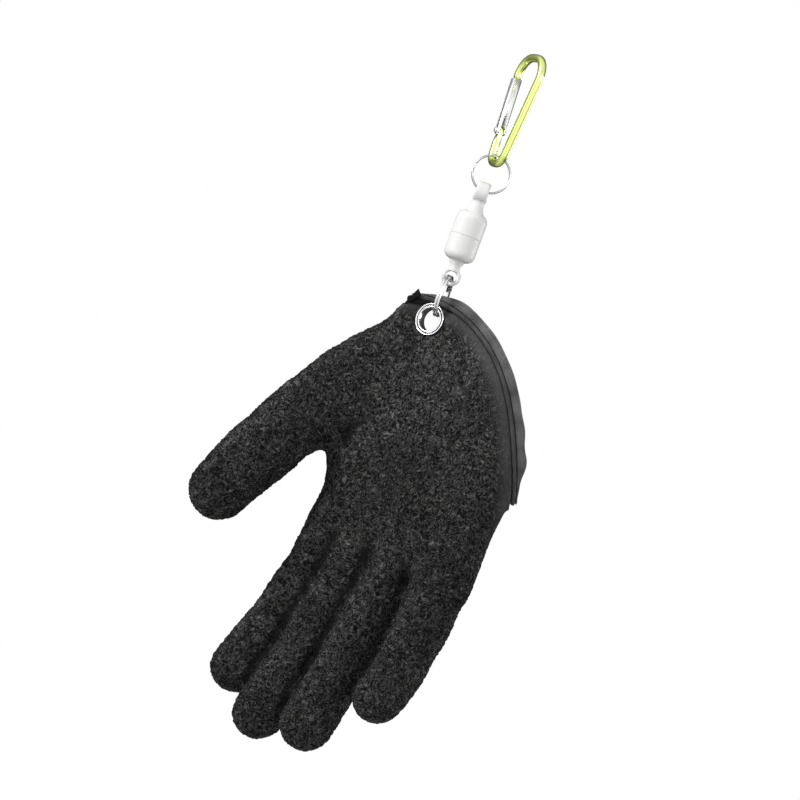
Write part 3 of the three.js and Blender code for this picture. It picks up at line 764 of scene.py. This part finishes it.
def pierce_eyelet(bm, radius):
    near = []
    for face in bm.faces:
        height, spread = from_eyelet(face.calc_center_median())
        if spread.length < radius - 0.5 and abs(height) < 8:
            near.append(face)
    bmesh.ops.delete(bm, geom=near, context="FACES")
    rings = [ring for ring in boundary_rings(bm)
             if from_eyelet(ring[0].verts[0].co)[1].length < radius + 3 and len(ring) < 60]
    for ring in rings:
        for vert in ring_verts(ring):
            height, spread = from_eyelet(vert.co)
            vert.co = EYELET + spread.normalized() * radius + EYELET_AXIS * height
    bmesh.ops.bridge_loops(bm, edges=[edge for ring in rings for edge in ring])


def soften_crotch(bm):
    """Smooths the skin about the thumb's crotch, so that the cloth bridges it."""
    near = [vert for vert in bm.verts
            if hypot(vert.co.x - CROTCH.x, vert.co.z - CROTCH.z) < CROTCH_RADIUS]
    smoothed(bm, near, CROTCH_SMOOTHING)


def hollowness(bm):
    """How far each point lies below its surroundings, in millimetres."""
    bm.verts.index_update()
    places = points_of(bm)
    normals = np.array([vert.normal for vert in bm.verts])
    ends = np.array([[vert.index for vert in edge.verts] for edge in bm.edges])
    counts = np.bincount(ends.ravel(), minlength=len(places))[:, None]
    smooth = places.copy()
    for _ in range(HOLLOW_SMOOTHING):
        total = np.zeros_like(smooth)
        np.add.at(total, ends[:, 0], smooth[ends[:, 1]])
        np.add.at(total, ends[:, 1], smooth[ends[:, 0]])
        smooth = 0.5 * smooth + 0.5 * total / counts
    return ((smooth - places) * normals).sum(1)


def relief(point):
    """How far the coat's wrinkles and the cloth's soft swells stand out at a point, in millimetres."""
    swell = noise.noise(point / 26) * 0.55 + noise.noise(point / 11 + Vector((7, 3, 1))) * 0.22
    place = point / 3.1
    wander = Vector((noise.noise(place), noise.noise(place + Vector((9, 0, 4))), 0)) * WRINKLE_WANDER
    ridge = 1 - min(abs(noise.noise((point + wander) / WRINKLE_SPACING)) * 4.2, 1)
    return swell, ridge * WRINKLE_HEIGHT - WRINKLE_SINK


def skin_cage():
    """The glove's coarse outer skin, open at the cuff and pierced at the eyelet."""
    lofts = [palm_shape()] + [digit_shape(values) for values in DIGITS]
    cage = melted(merged(*lofts), SKIN_VOXEL, SKIN_SMOOTHING)
    soften_crotch(cage)
    open_cuff(cage)
    draw_corner(cage)
    pinch_eyelet(cage)
    pierce_eyelet(cage, EYELET_BARREL + GAP)
    bmesh.ops.recalc_face_normals(cage, faces=cage.faces)
    cage.normal_update()
    return cage


def lining_of(cage):
    """The cage moved in by the wall's thickness and turned inside out."""
    lining = cage.copy()
    lining.normal_update()
    shifts = [vert.normal * -lerp(WALL, PINCHED_WALL, held(vert.co)) for vert in lining.verts]
    for vert, shift in zip(lining.verts, shifts):
        vert.co += shift
    bmesh.ops.reverse_faces(lining, faces=lining.faces)
    return to_mesh(lining, "lining")


def wrinkled(cage):
    """The cage refined and wrinkled, with how hollow it is at each point as an attribute."""
    hollows = cage.verts.layers.float.new("hollow")
    for vert, depth in zip(cage.verts, hollowness(cage)):
        vert[hollows] = depth
    mesh = applied(cage, ("SUBSURF", {"levels": 1, "render_levels": 1}))
    outer = bmesh.new()
    outer.from_mesh(mesh)
    bpy.data.meshes.remove(mesh)
    outer.normal_update()
    distances, _ = beyond_cuff(points_of(outer))
    for vert, distance in zip(outer.verts, distances):
        _, spread = from_eyelet(vert.co)
        if spread.length > EYELET_CLEAR:
            free = ease(-distance, 1, 12) * ease(spread.length, 9, 15)
            swell, wrinkle = relief(vert.co)
            vert.co += vert.normal * (swell * ease(-distance, 1, 25) + wrinkle * free)
    return outer


def glove_skin():
    """Outer skin and lining, joined round the mouth and the eyelet's hole."""
    cage = skin_cage()
    lining = lining_of(cage)
    whole = wrinkled(cage)
    faces_before = len(whole.faces)
    whole.from_mesh(lining)
    bpy.data.meshes.remove(lining)
    whole.faces.ensure_lookup_table()
    for face in whole.faces[faces_before:]:
        face.material_index = 1
    rims = boundary_rings(whole)
    bridge = bmesh.ops.bridge_loops(whole, edges=[edge for ring in rims for edge in ring])
    for face in bridge["faces"]:
        face.material_index = 1
    distance, _ = beyond_cuff(points_of(whole))
    mesh = to_mesh(whole, "glove_skin")
    layer = mesh.attributes.new("edge_distance", "FLOAT", "POINT")
    layer.data.foreach_set("value", np.minimum(-distance, 200).astype(np.float32))
    skin_piece = made("glove_skin", mesh, COAT)
    mesh.materials.append(LINING)
    return skin_piece


# Cuff's trimming


def cuff_loop(angles, section):
    """Rings of a section, given as pairs of inset and push, round the mouth of the cuff."""
    rings = []
    for angle in angles:
        share = (1 - cos(angle)) / 2
        rings.append([palm_point(CUFF, angle, inset, push) for inset, push in section(angle, share)])
    return rings


def cuff_angles(count):
    return [TURN * k / count for k in range(count)]


def cuff_cord():
    radius = PIPING / 2
    start = GAP + radius

    def section(angle, share):
        swell = 1 + 0.04 * sin(angle * 23) + 0.03 * sin(angle * 41 + 1)
        return [(WALL / 4 - radius * swell * sin(TURN * k / 14), start + radius * swell * cos(TURN * k / 14))
                for k in range(14)]

    return made("cuff_cord", skin(cuff_loop(cuff_angles(360), section), along=True), CORD)


def cuff_seam():
    """The binding's dark seam allowance: near-black cloth in the grooves beside the piping, partly its own
    dark colour and partly painted shade there.
    """

    def section(angle, share):
        spots = []
        for a, b in round_section(1, 1, 10, 0.6):
            spots.append((WALL / 2 - 0.4 * b, lerp(-0.8, PIPING + 2 * GAP + 0.5, (a + 1) / 2)))
        return spots

    bm = skin(cuff_loop(cuff_angles(240), section), along=True)
    draw_corner(bm)
    return made("cuff_seam", bm, BINDING)


def band_reach(share):
    near = lerp(BAND_NEAR_SHARE, 1, ease(share, 0, BAND_NEAR_END))
    return BAND_WIDTH * near * lerp(1, BAND_FAR_SHARE, ease(share, BAND_FAR_START, 1))


def cuff_band():
    start = PIPING + 2 * GAP

    def section(angle, share):
        ripple = 0.35 * ease(share, 0.45, 0.8) * sin(share * 46) + 0.12 * sin(angle * 17)
        reach = band_reach(share) + ripple
        half = BAND_THICKNESS / 2
        spots = []
        for across, thick in round_section(1, 1, 26, 0.55):
            bulge = 1 + 0.12 * sin(pi * (across + 1) / 2)
            spots.append((WALL / 2 - thick * half * bulge * 0.92, start + reach * (across + 1) / 2))
        return spots

    return made("cuff_band_cloth", skin(cuff_loop(cuff_angles(360), section), along=True), BAND)


def tail_cloth():
    """The binding's pointed black end, a folded triangle over the piping."""
    corner = palm_point(CUFF, 0)
    foot, top, side = (corner + Vector(place) * TAIL_LENGTH for place in TAIL_CORNERS)
    front = (side - foot).cross(top - foot).normalized()
    front *= -1 if front.y > 0 else 1
    rows = 12
    rings = []
    for j in range(rows + 1):
        t = j / rows
        left, right = foot.lerp(top, t), foot.lerp(side, t)
        ring = []
        for i in range(rows + 1):
            s = i / rows
            swell = 0.5 + 0.35 * sin(pi * s) * sin(pi * t) ** 0.6
            ring.append(left.lerp(right, s) + front * TAIL_THICKNESS * swell)
        rings.append(ring)
    thickness = {"thickness": TAIL_THICKNESS * 0.7, "offset": 0}
    rounded = {"width": 0.25, "segments": 3, "limit_method": "ANGLE"}
    mesh = applied(skin(rings, around=False), ("SOLIDIFY", thickness), ("BEVEL", rounded))
    return made("binding_tail", mesh, BINDING)


# Eyelet


def eyelet_piece(name, profile, finish):
    """A pressed ring about the eyelet's axis, from a profile of radii and heights towards the front."""
    bm = skin(turned(profile, 72), along=True)
    turn = Vector((0, 0, 1)).rotation_difference(EYELET_AXIS).to_matrix().to_4x4()
    return made(name, move(bm, Matrix.Translation(EYELET) @ turn), finish)


def arc(centre, radius, start, end, steps=8):
    """Points of an arc in a profile, its angles in degrees."""
    return [(centre[0] + radius * cos(radians(lerp(start, end, k / steps))),
             centre[1] + radius * sin(radians(lerp(start, end, k / steps)))) for k in range(steps + 1)]


def eyelet_pieces():
    under = SEAT_HALF + GAP
    over = under + EYELET_FLANGE
    front = [(EYELET_BORE, -over + 0.2), (EYELET_BARREL, -over), (EYELET_BARREL, under)]
    front += arc((EYELET_RIM - 0.38, under + 0.42), 0.38, -80, 150, 10)
    groove = len(front) + 1
    front += [(7.4, under + 0.2), (7.18, under + 0.02), (6.96, under + 0.2)]
    front += arc((6.44, under + 0.38), 0.48, 10, 180, 10)
    place, width = groove / len(front), 2.2 / len(front)
    # Steel of the eyelet's face, with painted shade in its groove
    groove_shaded_steel = metal_finish("grooved_steel", BRIGHT, 0.14, BRIGHTER, groove=(place, width))
    back = [(EYELET_BARREL + GAP, -under), (EYELET_RIM - 0.3, -under)]
    back += arc((EYELET_RIM - 0.35, -under - 0.35), 0.35, 90, -100, 8)
    back += [(7.5, -over), (EYELET_BARREL + GAP, -over + 0.3)]
    return eyelet_piece("eyelet_face", front, groove_shaded_steel), eyelet_piece("eyelet_washer", back, CHROME)


# Rings


def coil(name, diameter, wire_width, wire_height, power, matrix, finish, steps=220, sides=12):
    """A ring wound from two flat coils, its axis along X before it is placed."""
    radius = (diameter - wire_height) / 2
    shift = (wire_width + COIL_GAP) / 2
    length = 2 * TURN - 2 * COIL_CROSSING
    points = []
    for k in range(steps + 1):
        angle = COIL_CROSSING + length * k / steps
        along = ease(angle, TURN - COIL_CROSSING, TURN + COIL_CROSSING)
        points.append(Vector((lerp(-shift, shift, along), radius * cos(angle), radius * sin(angle))))
    blunt = 0.35

    def section(i):
        near_end = min(i, steps - i) * length * radius / steps
        share = rounding(near_end + 0.12, blunt)
        return round_section(wire_height / 2 * share, wire_width / 2 * share, sides, power)

    rings = sweep(points, section, lambda i: Vector((1, 0, 0)))
    return made(name, move(skin(rings, caps=True), matrix), finish)


# Clip


def clip_half(name, eye, node, face_z, turn):
    """One half of the clip, standing on its mating face before it is placed."""
    profile = [(0, -FACE_SPARE), (CLIP_RADIUS, -FACE_SPARE)]
    profile += arc((CLIP_RADIUS - CLIP_SHOULDER, CLIP_HALF_LENGTH - CLIP_SHOULDER), CLIP_SHOULDER, 0, 90, 10)
    profile.append((0, CLIP_HALF_LENGTH))
    body = skin(turned(profile, 64))
    centre = Vector((0, 0, CLIP_HALF_LENGTH + eye["neck"] + eye["hole"] / 2))
    ring_radius = (eye["hole"] + eye["wall"]) / 2
    ring = []
    for k in range(48):
        way = Vector((0, cos(TURN * k / 48), sin(TURN * k / 48)))
        ring.append([centre + way * (ring_radius + a) + Vector((b, 0, 0))
                     for a, b in round_section(eye["wall"] / 2, eye["thickness"] / 2, 20, 0.6)])
    foot = CLIP_HALF_LENGTH - CLIP_SHOULDER / 2
    top = centre.z - eye["hole"] / 2
    neck = []
    for k in range(13):
        t = k / 12
        half = lerp(eye["root"] + 1.6, 2.5, ease(t, 0, 0.75)) + 0.5 * t * t
        flare = (eye["thickness"] / 2 - 2.3) * t * t
        neck.append([Vector((a, b, lerp(foot, top, t))) for a, b in round_section(half + flare, half, 24)])
    neck = [[Vector((0, 0, foot))] * 24] + neck + [[Vector((0, 0, top))] * 24]
    bm = melted(merged(body, skin(ring, along=True), skin(neck)), CLIP_VOXEL, CLIP_SMOOTHING)
    bm = cut_with(bm, cylinder((0, 0, 0), (0, 0, 1), MAGNET / 2 + GAP, 2 * (MAGNET_THICKNESS + GAP), 48))
    trimmed = 10
    below = (0, 0, -FACE_TRIM - trimmed / 2)
    bm = cut_with(bm, cylinder(below, (0, 0, 1), CLIP_RADIUS * 2, trimmed, 24))
    place = Matrix.Translation((CLIP_X, 0, face_z)) @ turn
    piece = made(name, move(bm, place), WHITE)
    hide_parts(node)
    return piece


# Carabiner


def rounded_path(corners, radii, steps=14):
    """A polyline with its inner corners rounded, each within half of a shared leg or all of an end leg."""
    path = [corners[0]]
    for before, corner, after, radius in zip(corners, corners[1:], corners[2:], radii):
        arrive = (corner - before).normalized()
        leave = (after - corner).normalized()
        turn = atan2(arrive.x * leave.y - arrive.y * leave.x, arrive.dot(leave))
        room = min((corner - before).length * (0.98 if before is corners[0] else 0.49),
                   (corner - after).length * (0.98 if after is corners[-1] else 0.49))
        radius = min(radius, room / tan(abs(turn) / 2))
        start = corner - arrive * radius * tan(abs(turn) / 2)
        centre = start + Vector((-arrive.y, arrive.x)) * (radius if turn > 0 else -radius)
        for k in range(steps + 1):
            spoke = start - centre
            spoke.rotate(Matrix.Rotation(turn * k / steps, 2))
            path.append(centre + spoke)
    return path + [corners[-1]]


# Carabiner's corners in its own plane, from the gate's free end to the hinge
BAR_TOP = BAR / 2
BAR_FOOT = BAR - CARABINER_LENGTH + BAR / 2
NOSE = Vector((WIDE_CENTRE - WIDE_SPAN / 2, BAR_TOP))
HEEL = Vector((NARROW_CENTRE - NARROW_SPAN / 2, BAR_FOOT))
DOWN = (HEEL - NOSE).normalized()
NOSE_END = NOSE + DOWN * NOSE_DROP
HINGE = HEEL - DOWN * HINGE_RISE
SHOULDER = HINGE + DOWN * (GATE_WIDTH / 2 + 3 * GAP)
BOW_CORNERS = (NOSE_END, NOSE, Vector((WIDE_CENTRE + WIDE_SPAN / 2, BAR_TOP)),
               Vector((NARROW_CENTRE + NARROW_SPAN / 2, BAR_FOOT)), HEEL, SHOULDER)
BOW_STEP = 2.2

# Places from the hinge's own axes, with +Z along the gate, to the carabiner's plane, and on to the frame
AT_HINGE = Matrix(((-DOWN.y, 0, -DOWN.x, HINGE.x), (0, 1, 0, 0), (DOWN.x, 0, -DOWN.y, HINGE.y), (0, 0, 0, 1)))
CARABINER_PLACE = Matrix.Rotation(CARABINER_TURN, 4, "Z")


def carabiner_bow():
    """The bent bar, with the flat tongue that the gate turns on."""
    path = rounded_path(BOW_CORNERS, BOW_RADII)
    dense = []
    for a, b in zip(path, path[1:]):
        pieces = max(1, int((b - a).length / BOW_STEP))
        dense += [a.lerp(b, k / pieces) for k in range(pieces)]
    dense.append(path[-1])
    points = [Vector((p.x, 0, p.y)) for p in dense]
    last = len(points) - 1

    def section(i):
        near_end = min((points[i] - points[0]).length, (points[i] - points[last]).length)
        share = 0.86 + 0.14 * rounding(near_end, 0.7)
        return round_section(BAR / 2 * share, BAR / 2 * share, 20, 0.8)

    bar = skin(sweep(points, section, lambda i: Vector((0, 1, 0))), caps=True)
    reach = (HINGE - SHOULDER).length + BAR / 2
    tongue = footed_bar(TONGUE_WIDTH, reach, TONGUE_THICKNESS, 0.25)
    move(tongue, AT_HINGE @ Matrix.Rotation(pi, 4, "Y"))
    tongue = cut_with(tongue, cylinder((HINGE.x, 0, HINGE.y), (0, 1, 0), RIVET / 2 + GAP, 10, 24))
    return made("carabiner_bow", move(cut_with(bar, tongue, "UNION"), CARABINER_PLACE), LIME)


def carabiner_gate():
    """A bar slotted at its foot for the tongue."""
    length = (HINGE - NOSE_END).length - GAP
    bar = footed_bar(GATE_WIDTH, length, GATE_THICKNESS, 1.0)
    depth = TONGUE_WIDTH / 2 + 2 * GAP
    slot = bmesh.new()
    bmesh.ops.create_cube(slot, size=1)
    move(slot, Matrix.Translation((0, 0, (depth - GATE_WIDTH) / 2)) @ Matrix.Diagonal(
        (GATE_WIDTH * 2, TONGUE_THICKNESS + 2 * GAP, depth + GATE_WIDTH, 1)))
    bar = cut_with(bar, slot)
    bar = cut_with(bar, cylinder((0, 0, 0), (0, 1, 0), RIVET / 2 + GAP, 12, 24))
    return made("gate_bar", move(bar, CARABINER_PLACE @ AT_HINGE), SILVER)


def hinge_rivet():
    half = GATE_THICKNESS / 2 + GAP
    head = 1.5
    dome = arc((0, 0), 1, 90, 20, 6)
    profile = [(r * head, half + z * 0.6) for r, z in dome] + [(head, half), (RIVET / 2, half)]
    profile += [(r, -z) for r, z in reversed(profile)]
    pin = skin(turned(profile, 32))
    at_hinge = Matrix.Translation((HINGE.x, 0, HINGE.y))
    move(pin, CARABINER_PLACE @ at_hinge @ Matrix.Rotation(pi / 2, 4, "X"))
    return made("hinge_rivet", pin, SILVER)


def footed_bar(width, top, thickness, soft):
    """A bar along Z with a round foot about the origin, its long edges softened."""
    half = width / 2
    outline = [(half, top)] + [(half * cos(radians(a)), half * sin(radians(a))) for a in range(0, -181, -12)]
    outline.append((-half, top))
    bm = bmesh.new()
    verts = [bm.verts.new((x, -thickness / 2, z)) for x, z in outline]
    face = bm.faces.new(verts)
    grown = bmesh.ops.extrude_face_region(bm, geom=[face])
    bmesh.ops.translate(bm, verts=[g for g in grown["geom"] if isinstance(g, bmesh.types.BMVert)],
                        vec=(0, thickness, 0))
    bmesh.ops.recalc_face_normals(bm, faces=bm.faces)
    rims = [edge for edge in bm.edges
            if abs(edge.verts[0].co.y - edge.verts[1].co.y) < 1e-6]
    bmesh.ops.bevel(bm, geom=rims, offset=soft, segments=4, profile=0.5, affect="EDGES", material=-1)
    bmesh.ops.triangulate(bm, faces=[f for f in bm.faces if len(f.verts) > 4])
    return bm


# Making everything


def dress():
    glove = glove_skin()
    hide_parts("glove_body")
    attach(glove, "glove")

    cord = cuff_cord()
    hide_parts("cuff_piping")
    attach(cord, "glove")

    # Dark seam cloth, which also stands in as painted shade in the cuff's grooves
    seam = cuff_seam()
    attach(seam, "glove")

    band = cuff_band()
    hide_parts("cuff_band")
    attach(band, "glove")

    tail = tail_cloth()
    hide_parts("band_tail")
    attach(tail, "glove")

    face, washer = eyelet_pieces()
    for piece, node in ((face, "eyelet_front"), (washer, "eyelet_back")):
        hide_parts(node)
        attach(piece, "glove")

    ring_place = Matrix.Translation((SPLIT_RING_X, 0, middle("split_ring").z))
    ring_turn = Matrix.Rotation(SPLIT_RING_TURN, 4, "Z")
    split = coil("split_ring_coils", SPLIT_RING, SPLIT_WIRE_WIDTH, SPLIT_WIRE_HEIGHT, 0.6,
                 ring_place @ ring_turn, CHROME)
    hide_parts("split_ring")
    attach(split, "glove")

    key_place = Matrix.Translation((KEY_RING_X, 0, middle("key_ring").z))
    key_turn = Matrix.Rotation(pi / 2, 4, "Z")
    key = coil("key_ring_coils", KEY_RING, KEY_RING_WIRE, KEY_RING_WIRE, 0.9, key_place @ key_turn, STEEL)
    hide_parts("key_ring")
    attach(key, "hanger")

    upper_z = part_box("clip_upper")[0].z / MM
    lower_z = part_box("clip_lower")[1].z / MM
    upper = clip_half("clip_half_upper", UPPER_EYE, "clip_upper", upper_z, Matrix.Identity(4))
    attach(upper, "hanger")
    flipped = Matrix.Rotation(pi, 4, "X") @ Matrix.Rotation(pi / 2, 4, "Z")
    lower = clip_half("clip_half_lower", LOWER_EYE, "clip_lower", lower_z, flipped)
    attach(lower, "glove")

    bow = carabiner_bow()
    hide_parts("carabiner_frame")
    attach(bow, "hanger")

    gate = carabiner_gate()
    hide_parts("carabiner_gate")
    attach(gate, "gate")

    pin = hinge_rivet()
    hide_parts("gate_rivet")
    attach(pin, "hanger")

    for node in ("magnet_upper", "magnet_lower"):
        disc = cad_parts[node]
        disc.data.materials.clear()
        disc.data.materials.append(NICKEL)


# Studio

# Lights: the place and size in metres, the power in watts and the target in millimetres
LIGHT_COLUMNS = ("name", "place", "size", "power", "target")
LIGHTS = (
    ("key_light", (-1.2, -0.5, 0.38), 0.5, 20, VIEW_CENTRE),
    ("fill_light", (0.6, -1.5, -0.1), 0.8, 5, VIEW_CENTRE),
    ("side_light", (1.1, 0.3, -0.1), 0.6, 4.5, VIEW_CENTRE),
    ("clip_light", (0.24, -0.2, 0.02), 0.1, 0.45, Vector((CLIP_X, 0, -93))),
)

# Walls: the way that is bright, the dot products between which they brighten, and their range
WALL_COLUMNS = ("direction", "low", "high", "dark", "bright")
AMBIENT_WALLS = ((-0.68, -0.2, 0.7), -0.4, 0.95, 0.05, 0.55)
MIRRORED_WALLS = ((-0.3, -0.86, 0.41), -0.3, 0.32, 0.05, 1.0)

FLOOR_RADIUS = 0.45
FLOOR_Z = -0.62


def light(values):
    row = dict(zip(LIGHT_COLUMNS, values))
    lamp = bpy.data.lights.new(row["name"], "AREA")
    lamp.shape = "DISK"
    lamp.size = row["size"]
    lamp.energy = row["power"]
    thing = bpy.data.objects.new(row["name"], lamp)
    thing.location = row["place"]
    aim = row["target"] * MM - Vector(row["place"])
    thing.rotation_euler = aim.to_track_quat("-Z", "Y").to_euler()
    bpy.context.scene.collection.objects.link(thing)


def studio_world():
    """White behind the object, dim and graded for the light that falls on it and for what it mirrors."""
    world = bpy.data.worlds.new("studio")
    world.use_nodes = True
    tree = world.node_tree
    back = tree.nodes["Background"]
    back.inputs["Color"].default_value = (1, 1, 1, 1)
    where = tree.nodes.new("ShaderNodeTexCoord")
    path = tree.nodes.new("ShaderNodeLightPath")

    def brightness(values):
        """Walls that go from dark to bright the more a ray points their way."""
        row = dict(zip(WALL_COLUMNS, values))
        toward = tree.nodes.new("ShaderNodeVectorMath")
        toward.operation = "DOT_PRODUCT"
        toward.inputs[1].default_value = row["direction"]
        tree.links.new(where.outputs["Generated"], toward.inputs[0])
        ramp = tree.nodes.new("ShaderNodeMapRange")
        sockets = {"From Min": "low", "From Max": "high", "To Min": "dark", "To Max": "bright"}
        for socket, column in sockets.items():
            ramp.inputs[socket].default_value = row[column]
        tree.links.new(toward.outputs["Value"], ramp.inputs["Value"])
        return ramp.outputs[0]

    ambient = brightness(AMBIENT_WALLS)
    mirrored = brightness(MIRRORED_WALLS)
    walls = tree.nodes.new("ShaderNodeMix")
    tree.links.new(path.outputs["Is Glossy Ray"], walls.inputs[0])
    tree.links.new(ambient, walls.inputs[2])
    tree.links.new(mirrored, walls.inputs[3])
    seen = tree.nodes.new("ShaderNodeMath")
    seen.operation = "MAXIMUM"
    tree.links.new(walls.outputs[0], seen.inputs[0])
    tree.links.new(path.outputs["Is Camera Ray"], seen.inputs[1])
    tree.links.new(seen.outputs[0], back.inputs["Strength"])
    return world


def studio_floor():
    floor = bmesh.new()
    bmesh.ops.create_circle(floor, cap_ends=True, segments=96, radius=FLOOR_RADIUS,
                            matrix=Matrix.Translation((0, 0, FLOOR_Z)))
    pale = Finish("pale_floor", roughness=0.9)
    mottle = pale.grain(pale.place(), 6, 2)
    pale.set(base_color=pale.colours(mottle, grey(0.8), grey(0.84)))
    made("floor", floor, pale.material, scale=1)


def photo_camera():
    """A camera that looks along +Y and is rolled as the photograph's is."""
    camera = bpy.data.cameras.new("camera")
    camera.lens = LENS
    camera.sensor_width = SENSOR
    view = bpy.data.objects.new("camera", camera)
    right = Vector((cos(VIEW_ROLL), 0, sin(VIEW_ROLL)))
    up = Vector((-sin(VIEW_ROLL), 0, cos(VIEW_ROLL)))
    away = VIEW_WIDTH * LENS / SENSOR
    view.matrix_world = Matrix.Translation((VIEW_CENTRE - Vector((0, away, 0))) * MM) @ Matrix(
        (right, up, Vector((0, -1, 0)))).transposed().to_4x4()
    bpy.context.scene.collection.objects.link(view)
    return view


def studio():
    scene = bpy.context.scene
    scene.view_settings.view_transform = "Standard"
    scene.view_settings.look = "None"
    scene.world = studio_world()
    studio_floor()
    for values in LIGHTS:
        light(values)
    scene.camera = photo_camera()


studio()
dress()
